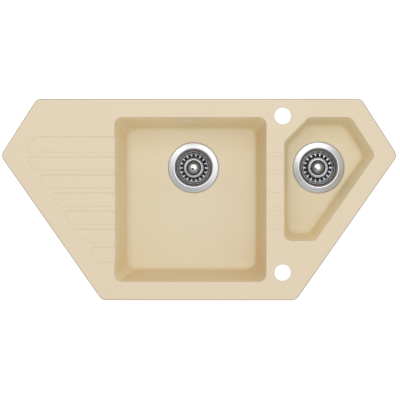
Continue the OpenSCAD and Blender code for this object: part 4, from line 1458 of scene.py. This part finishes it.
    def basket(self, finish: Finish) -> None:
        """Makes the basket with its rolled rim, cone, floor slots and wall slots.

        Args:
            finish: The basket's finish.
        """
        f, s = self.floor_z, self.basket_sheet
        top = f + self.hub_h
        inside: list[Point] = [
            (self.stem_r, top),
            (self.hub_r - 1.4 * MM, top),
            (self.hub_r - 0.8 * MM, top + 0.45 * MM),
            (self.hub_r + 0.5 * MM, top + 0.45 * MM),
            (self.hub_r + 1.2 * MM, top - 0.6 * MM),
            (self.foot_r - 2 * MM, f + 0.1 * MM),
            (self.foot_r, f + 1 * MM),
        ]
        roll = [on_circle(self.bead_r, math.radians(a)) for a in range(240, -61, -30)]
        rim = [(self.rim_r - self.bead_r + x, self.rim_z + z) for x, z in roll]
        outside: list[Point] = [
            (self.foot_r + s, f + 1 * MM),
            (self.foot_r - 0.6 * MM, f - s),
            (self.foot_r - 2.6 * MM, f - s),
            (self.hub_r + 0.4 * MM, top - 1.4 * MM),
            (self.hub_r - 1.4 * MM, top - s),
            (self.stem_r, top - s),
        ]
        shape = lathe(rounded(inside + rim + outside, 0.7 * MM, 3), DRAINS[self.bowl], 144)
        made = finish_mesh(shape, self.named("basket_shell"), finish, 40)
        near, far, half = self.foot_r - 1 * MM, self.rim_r + 1.5 * MM, self.slot_w / 2
        wall_slot = [(near, -half), (far, -half), (far, half), (near, half)]
        slots = bmesh.new()
        for k in range(self.slots):
            turn = self.turned(k / self.slots)
            add_prism(slots, self.floor_slot(), f - 3 * MM, top + 1 * MM, turn)
            add_prism(slots, wall_slot, f + 6 * MM, f + 17 * MM, turn)
        cut(made, slots)
        soften(made, 0.12 * MM, 50, 1)
        place_piece(made, self.named("basket"), [self.named("basket")])

    def knob(self, finish: Finish) -> None:
        """Makes the knob: a dome on a foot with a rolled lip.

        Args:
            finish: The knob's finish.
        """
        z = self.floor_z + self.hub_h + 0.05 * MM
        r = self.knob_r
        dome_z = z + 3 * MM
        foot: list[Point] = [
            (0.0, z),
            (r + 2.1 * MM, z),
            (r + 2.6 * MM, z + 1 * MM),
            (r + 2.4 * MM, z + 2.5 * MM),
            (r + 0.6 * MM, z + 2.6 * MM),
            (r + 0.2 * MM, z + 1.9 * MM),
            (r, z + 2.6 * MM),
        ]
        dome: list[Point] = []
        for a in range(0, 90, 4):
            across, up = (part ** (2 / self.dome_power) for part in on_circle(1, math.radians(a)))
            dome.append((r * across, dome_z + self.dome_h * up))
        dome.append((0.0, dome_z + self.dome_h))
        shape = lathe(rounded(foot, 0.5 * MM, 3) + dome, DRAINS[self.bowl], 128)
        made = finish_mesh(shape, self.named("knob_dome"), finish, 45)
        place_piece(made, self.named("basket"), [self.named("basket_knob")])

    def build(self) -> None:
        """Builds the strainer's pieces and dresses the CAD nodes that stay."""
        middle = tuple(DRAINS[self.bowl])
        # Cup: its sloped walls are painted paler, painted light
        self.cup(
            TurnedSteel(
                self.named("brushed_steel_painted_wall_light"), (0.43, 0.435, 0.45, 1), 0.29, middle, wall_matt_and_light=0.3
            )
        )
        # Basket: steel darker than the cup's, painted shade of the recess it sits in
        self.basket(
            TurnedSteel(
                self.named("pressed_steel_painted_shade"), (0.27, 0.275, 0.285, 1), 0.18, middle, 1900.0, 1e-5
            )
        )
        # Knob: painted shade on the side of its dome
        self.knob(
            ShadedFlankKnob(self.named("polished_knob_painted_shade"), (0.4, 0.4, 0.405, 1), 0.1, middle, 1500.0, 3e-6)
        )
        for finish, parts in (
            (RUBBER, ("flange_gasket", "lower_gasket", "basket_seal", "tail_washer")),
            (POLISHED, ("centre_screw", "basket_stem")),
            (WHITE_PLASTIC, ("waste_body", "tail_nut")),
        ):
            dress_nodes(finish, *(self.named(part) for part in parts))


@dataclass
class Overflow:
    """The overflow behind the main bowl's rear wall, with its ribbed hose and two hose clips.

    Attributes:
        start: Where the hose begins, on the waste body's port.
        end: Where it ends, under the overflow head.
        hose_r: Radius of the CAD hose, which the clips' bands lie on.
        crest_r: Radius of the hose over its ribs.
        root_r: Radius between its ribs.
        ribs: Number of ribs.
        sides: Number of sides round the hose.
        path_steps: Number of steps along the hose's route.
        clip_at: Distance of each clip from its end of the hose.
        band_t: Thickness of a clip's band with its bars.
        bars: Number of bars in a full turn.
        screw_gap: Half the angle that the clip's screw covers, in radians.
        bar_t: Thickness of a bar.
        bar_w: Width of a bar round the band.
        bar_len: Length of a bar across the band.
    """

    start: Vector = field(default_factory=lambda: Vector((-0.014, 0.127, -0.213)))
    end: Vector = field(default_factory=lambda: Vector((-0.022, 0.19686, -0.079)))
    hose_r: float = 13.03 * MM
    crest_r: float = 13.0 * MM
    root_r: float = 11.2 * MM
    ribs: int = 44
    sides: int = 28
    path_steps: int = 160
    clip_at: float = 9 * MM
    band_t: float = 0.92 * MM
    bars: int = 48
    screw_gap: float = 0.55
    bar_t: float = 0.3 * MM
    bar_w: float = 0.7 * MM
    bar_len: float = 5.2 * MM

    def route(self) -> list[Vector]:
        """Gives the hose's centre line: straight out of the port, a quarter bend, then up.

        Returns:
            The line's points, close together.
        """
        straight = 2 * self.hose_r
        bend = self.end.y - self.start.y - straight
        rise = self.end.z - self.start.z - bend
        curve = bend * math.pi / 2
        points = []
        for k in range(self.path_steps + 1):
            s = (straight + curve + rise) * k / self.path_steps
            turn = min(math.pi / 2, max(0.0, (s - straight) / bend))
            past = max(0.0, s - straight - curve)
            share = min(1.0, past / (rise - straight))
            side = share * share * (3 - 2 * share)
            x = self.start.x + (self.end.x - self.start.x) * side
            y = self.start.y + min(s, straight) + bend * math.sin(turn)
            points.append(Vector((x, y, self.start.z + bend * (1 - math.cos(turn)) + past)))
        return points

    def hose(self) -> None:
        """Sweeps the ribbed hose along its route."""
        values = {
            "Ribs": self.ribs,
            "Root Radius": self.root_r,
            "Crest Radius": self.crest_r,
            "Sides": self.sides,
        }
        made = grown(
            "ribbed_overflow_hose", Tree.HOSE, GREY_PLASTIC, self.route(), values, sharp=60
        )
        place_piece(made, "sink", ["overflow_hose"])

    def band_bars(self) -> None:
        """Sets the pressed bars of the worm track round both clips' bands."""
        angles = [2 * math.pi * k / self.bars for k in range(self.bars)]
        bare = [a for a in angles if abs(math.remainder(a, 2 * math.pi)) >= self.screw_gap]
        out = Vector((self.hose_r + self.band_t, 0, 0))
        lower = self.start + Vector((0, self.clip_at, 0))
        upper = self.end - Vector((0, 0, self.clip_at))
        t, w, length = self.bar_t, self.bar_w, self.bar_len
        for name, centre, axis, size in (
            ("hose_clip_bars", lower, Vector((0, 1, 0)), (t, length, w)),
            ("hose_clip_bars_upper", upper, Vector((0, 0, 1)), (t, w, length)),
        ):
            points = [centre + Matrix.Rotation(a, 3, axis) @ out for a in bare]
            made = grown(name, Tree.BARS, PLATED, points, {"Size": size}, [axis * a for a in bare])
            place_piece(made, "sink")

    def build(self) -> None:
        """Builds the hose and the bands' bars and dresses the other pieces."""
        self.hose()
        self.band_bars()
        dress_nodes(RUBBER, "overflow_gasket")
        dress_nodes(GREY_PLASTIC, "overflow_head")
        dress_nodes(PLATED, "overflow_screws", "hose_clips")


@dataclass
class WastePipework:
    """Link pipe, tee, bottle trap and outlet pipe, with their nuts and washers.

    Attributes:
        thread_r: Radius of the threads' ridges.
        pitch: Pitch of the threads.
        ridge: Half the width of a thread's ridge.
        steps: Steps in each turn of a thread.
        pipe_r: Outer radius of the pipes.
        bend_r: Radius of the link pipe's bend at its middle.
        trap_r: Outer radius of the trap's body.
        bead_r: Radius of a parting line.
        tail_z: Height at which the bare thread starts under each bowl.
        trap_thread_z: Height of the trap's bare thread.
        link_z: Height of the link pipe's level run.
        link_thread_x: Where the link's bare thread starts.
        link_top_z: Upper end of the link pipe's parting line.
        link_end_x: Its lower end, along X.
        outlet_z: Height of the outlet pipe.
        outlet_thread_y: Where the outlet's bare thread starts.
        outlet_y: Ends of the outlet pipe's parting line.
        trap_z: Ends of the trap's parting line.
    """

    thread_r: float = 23.8 * MM
    pitch: float = 3 * MM
    ridge: float = 0.55 * MM
    steps: int = 48
    pipe_r: float = 20 * MM
    bend_r: float = 45 * MM
    trap_r: float = 34 * MM
    bead_r: float = 0.3 * MM
    tail_z: tuple[float, float] = (-0.2665, -0.2065)
    trap_thread_z: float = -0.3805
    link_z: float = -0.32
    link_thread_x: float = 0.0095
    link_top_z: float = -0.233
    link_end_x: float = 0.056
    outlet_z: float = -0.406
    outlet_thread_y: float = 0.1048
    outlet_y: Span = (0.151, 0.214)
    trap_z: Span = (-0.386, -0.431)

    def threads(self) -> None:
        """Winds the ridges on each bare stretch of thread."""
        main, half = DRAINS.values()
        tails = [Vector((d.x, d.y, z)) for d, z in zip((main, half), self.tail_z)]
        link = Vector((self.link_thread_x, main.y, self.link_z))
        trap = Vector((main.x, main.y, self.trap_thread_z))
        outlet = Vector((main.x, self.outlet_thread_y, self.outlet_z))
        up, to_right, to_back = (
            Vector(turn) for turn in ((0, 0, 0), (0, math.pi / 2, 0), (-math.pi / 2, 0, 0))
        )
        for name, points, turn, count in (
            ("tail_threads", tails, up, 4.0),
            ("link_thread", [link], to_right, 5.4),
            ("trap_thread", [trap], up, 1.0),
            ("outlet_thread", [outlet], to_back, 3.0),
        ):
            values = {
                "Radius": self.thread_r,
                "Pitch": self.pitch,
                "Turns": count,
                "Ridge": self.ridge,
                "Steps": self.steps,
            }
            turns = [turn] * len(points)
            made = grown(name, Tree.THREAD, WHITE_PLASTIC, points, values, turns)
            place_piece(made, "sink")

    def parting_lines(self) -> None:
        """Lays the moulds' parting lines along the pipes."""
        main, half = DRAINS.values()
        front = half.y - self.pipe_r
        link = [Vector((half.x, front, self.link_top_z))]
        for k in range(25):
            across, down = on_circle(self.bend_r, math.radians(90 * k / 24))
            link.append(
                Vector((half.x - self.bend_r + across, front, self.link_z + self.bend_r - down))
            )
        link.append(Vector((self.link_end_x, front, self.link_z)))
        outlet = [Vector((main.x + self.pipe_r, y, self.outlet_z)) for y in self.outlet_y]
        trap = [Vector((main.x - self.trap_r, main.y, z)) for z in self.trap_z]
        for name, points in (
            ("link_parting_line", link),
            ("outlet_parting_line", outlet),
            ("trap_parting_line", trap),
        ):
            values = {"Radius": self.bead_r}
            made = grown(name, Tree.BEAD, WHITE_PLASTIC, points, values, sharp=60)
            place_piece(made, "sink")

    def build(self) -> None:
        """Builds threads and parting lines and dresses the pipework."""
        self.threads()
        self.parting_lines()
        dress_nodes(
            RUBBER,
            "link_washer",
            "appliance_seal",
            "trap_washer",
            "trap_cup_seal",
            "outlet_washer",
        )
        dress_nodes(
            WHITE_PLASTIC,
            "link_pipe",
            "link_nut",
            "tee",
            "appliance_cap",
            "trap_nut",
            "trap_body",
            "trap_cup",
            "outlet_nut",
            "outlet_pipe",
        )


@dataclass
class FixingClips:
    """The eight clips under the rim, their screws and the inserts in the casting.

    Attributes:
        screw_r: Radius of a clip's screw.
        pitch: Pitch of its thread.
        ridge: Half the width of the thread's ridge.
        steps: Steps in each turn of the thread.
        top_z: Height at which the bare thread ends.
        foot_z: Height at which it starts, in the clip's sleeve.
    """

    screw_r: float = 2.5 * MM
    pitch: float = 1 * MM
    ridge: float = 0.3 * MM
    steps: int = 14
    top_z: float = -14.6 * MM
    foot_z: float = -28.4 * MM

    def build(self) -> None:
        """Winds the screws' threads and dresses clips, screws and inserts."""
        hinges = [joint for joint in FRAME["joints"] if joint["child"].startswith("clip_")]
        points = [Vector((*hinge["pos_m"][:2], self.foot_z)) for hinge in hinges]
        values = {
            "Radius": self.screw_r,
            "Pitch": self.pitch,
            "Turns": (self.top_z - self.foot_z) / self.pitch,
            "Ridge": self.ridge,
            "Steps": self.steps,
        }
        turns = [Vector((0, 0, 0))] * len(points)
        made = grown("clip_screw_threads", Tree.THREAD, PLATED, points, values, turns)
        place_piece(made, "sink")
        dress_nodes(BRASS, "clip_inserts")
        dress_nodes(PLATED, "clip_screws", *(hinge["child"] for hinge in hinges))


# Studio


@dataclass
class Studio:
    """Camera from straight above, two soft lights, a black card, white surroundings and a floor.

    Attributes:
        eye: Where the camera stands.
        target: The point that it looks at.
        lens: Focal length in millimetres, on a sensor of sensor_w.
        sensor_w: Width of the sensor in millimetres.
        softboxes: Centre, width, depth and brightness of the soft lights, which form an L.
        card: Corners in plan of the black card in the open corner of that L.
        card_z: Its height.
        black: Its colour.
        sky: Strength of the surroundings for diffuse light.
        floor_z: Height of the floor, clear of the trap's cup when that is taken off.
        floor_half: Half the floor's side.
        floor_glow: What the floor adds for rays that see it, so that it stays white.
        floor_pale: Colour of the floor.
    """

    eye: Vector = field(default_factory=lambda: Vector((0.039, 0.0445, 3.609)))
    target: Vector = field(default_factory=lambda: Vector((0.0025, -0.0009, 0.009)))
    lens: float = 150.2
    sensor_w: float = 36.0
    softboxes: tuple[tuple[tuple[float, float, float], float, float, float], ...] = (
        ((-0.03, 0.65, 2.4), 1.5, 1.1, 2.62),
        ((0.4, -0.1, 2.4), 0.72, 0.4, 2.35),
    )
    card: tuple[Point, Point] = ((-0.45, -0.45), (0.035, 0.095))
    card_z: float = 2.35
    black: Colour = (0.02, 0.02, 0.02, 1)
    sky: float = 0.67
    floor_z: float = -0.548
    floor_half: float = 6.0
    floor_glow: float = 0.62
    floor_pale: Colour = (0.8, 0.8, 0.8, 1)

    def camera(self) -> None:
        """Sets up the camera, with the picture's top towards the rear edge."""
        data = bpy.data.cameras.new("photo_camera")
        data.lens = self.lens
        data.sensor_width = self.sensor_w
        data.clip_start, data.clip_end = 0.1, 50
        thing = add_object("photo_camera", data)
        back = (self.eye - self.target).normalized()
        right = Vector((0, 1, 0)).cross(back).normalized()
        turn = Matrix((right, back.cross(right), back)).transposed().to_4x4()
        thing.matrix_world = Matrix.Translation(self.eye) @ turn
        bpy.context.scene.camera = thing

    def light(self) -> None:
        """Hangs the soft lights over the sink, out of the camera's sight."""
        for centre, width, depth, radiance in self.softboxes:
            data = bpy.data.lights.new("softbox", "AREA")
            data.shape = "RECTANGLE"
            data.size, data.size_y = width, depth
            data.energy = radiance * math.pi * width * depth
            thing = add_object("softbox", data)
            thing.location = centre
            thing.visible_camera = False

    def stage_sheet(
        self, name: str, low: Point, high: Point, z: float, material: bpy.types.Material
    ) -> Thing:
        """Lays a level rectangle that faces up and isn't part of the sink.

        Args:
            name: The object's name.
            low: Its first corner in plan.
            high: The opposite corner.
            z: Its height.
            material: Its material.

        Returns:
            The object.
        """
        shape = bmesh.new()
        corners = (low, (high[0], low[1]), high, (low[0], high[1]))
        shape.faces.new([shape.verts.new((x, y, z)) for x, y in corners])
        mesh = as_mesh(shape, name)
        mesh.materials.append(material)
        sheet = add_object(name, mesh)
        return sheet

    def flag(self) -> None:
        """Hangs a black card in the lights' open corner, which only polished steel mirrors."""
        material = new_material("flag_black")
        wires = Wires(material.node_tree)
        matt = wires.add("ShaderNodeBsdfPrincipled", {"Base Color": self.black})
        wires.add("ShaderNodeOutputMaterial", {"Surface": matt.outputs[0]})
        card = self.stage_sheet("light_flag", *self.card, self.card_z, material)
        for kind in ("camera", "diffuse", "shadow", "transmission"):
            setattr(card, f"visible_{kind}", False)

    def world(self) -> None:
        """Makes surroundings that are white to see and softer as a light."""
        world = bpy.data.worlds.new("white_room")
        bpy.context.scene.world = world
        world.use_nodes = True
        world.node_tree.nodes.clear()
        wires = Wires(world.node_tree)
        strength = wires.span(wires.seen(), 0.0, 1.0, self.sky, 1.0)
        inputs = {"Color": (1, 1, 1, 1), "Strength": strength}
        light = wires.add("ShaderNodeBackground", inputs).outputs[0]
        wires.add("ShaderNodeOutputWorld", {"Surface": light})

    def floor(self) -> None:
        """Lays the pale floor, which shows white, keeps a soft shadow and is clear from below."""
        material = new_material("studio_floor")
        wires = Wires(material.node_tree)
        strength = wires.times(wires.seen(), self.floor_glow)
        glow = wires.add("ShaderNodeEmission", {"Strength": strength}).outputs[0]
        matt = wires.add("ShaderNodeBsdfDiffuse", {"Color": self.floor_pale}).outputs[0]
        both = wires.add("ShaderNodeAddShader", {0: glow, 1: matt}).outputs[0]
        clear = wires.add("ShaderNodeBsdfTransparent").outputs[0]
        below = wires.add("ShaderNodeNewGeometry").outputs["Backfacing"]
        side = wires.add("ShaderNodeMixShader", {0: below, 1: both, 2: clear}).outputs[0]
        wires.add("ShaderNodeOutputMaterial", {"Surface": side})
        half = self.floor_half
        self.stage_sheet("studio_floor", (-half, -half), (half, half), self.floor_z, material)

    def build(self) -> None:
        """Sets up everything round the sink."""
        self.camera()
        self.light()
        self.flag()
        self.world()
        self.floor()
        bpy.context.scene.view_settings.view_transform = "Standard"


def main() -> None:
    """Builds the studio and the sub-assemblies."""
    logging.basicConfig(level=logging.INFO, format="%(name)s: %(message)s")
    Studio().build()
    Casting().build()
    BasketStrainer(Bowl.MAIN).build()
    BasketStrainer(Bowl.HALF).build()
    Overflow().build()
    WastePipework().build()
    FixingClips().build()
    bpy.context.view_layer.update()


if __name__ == "__main__":
    main()
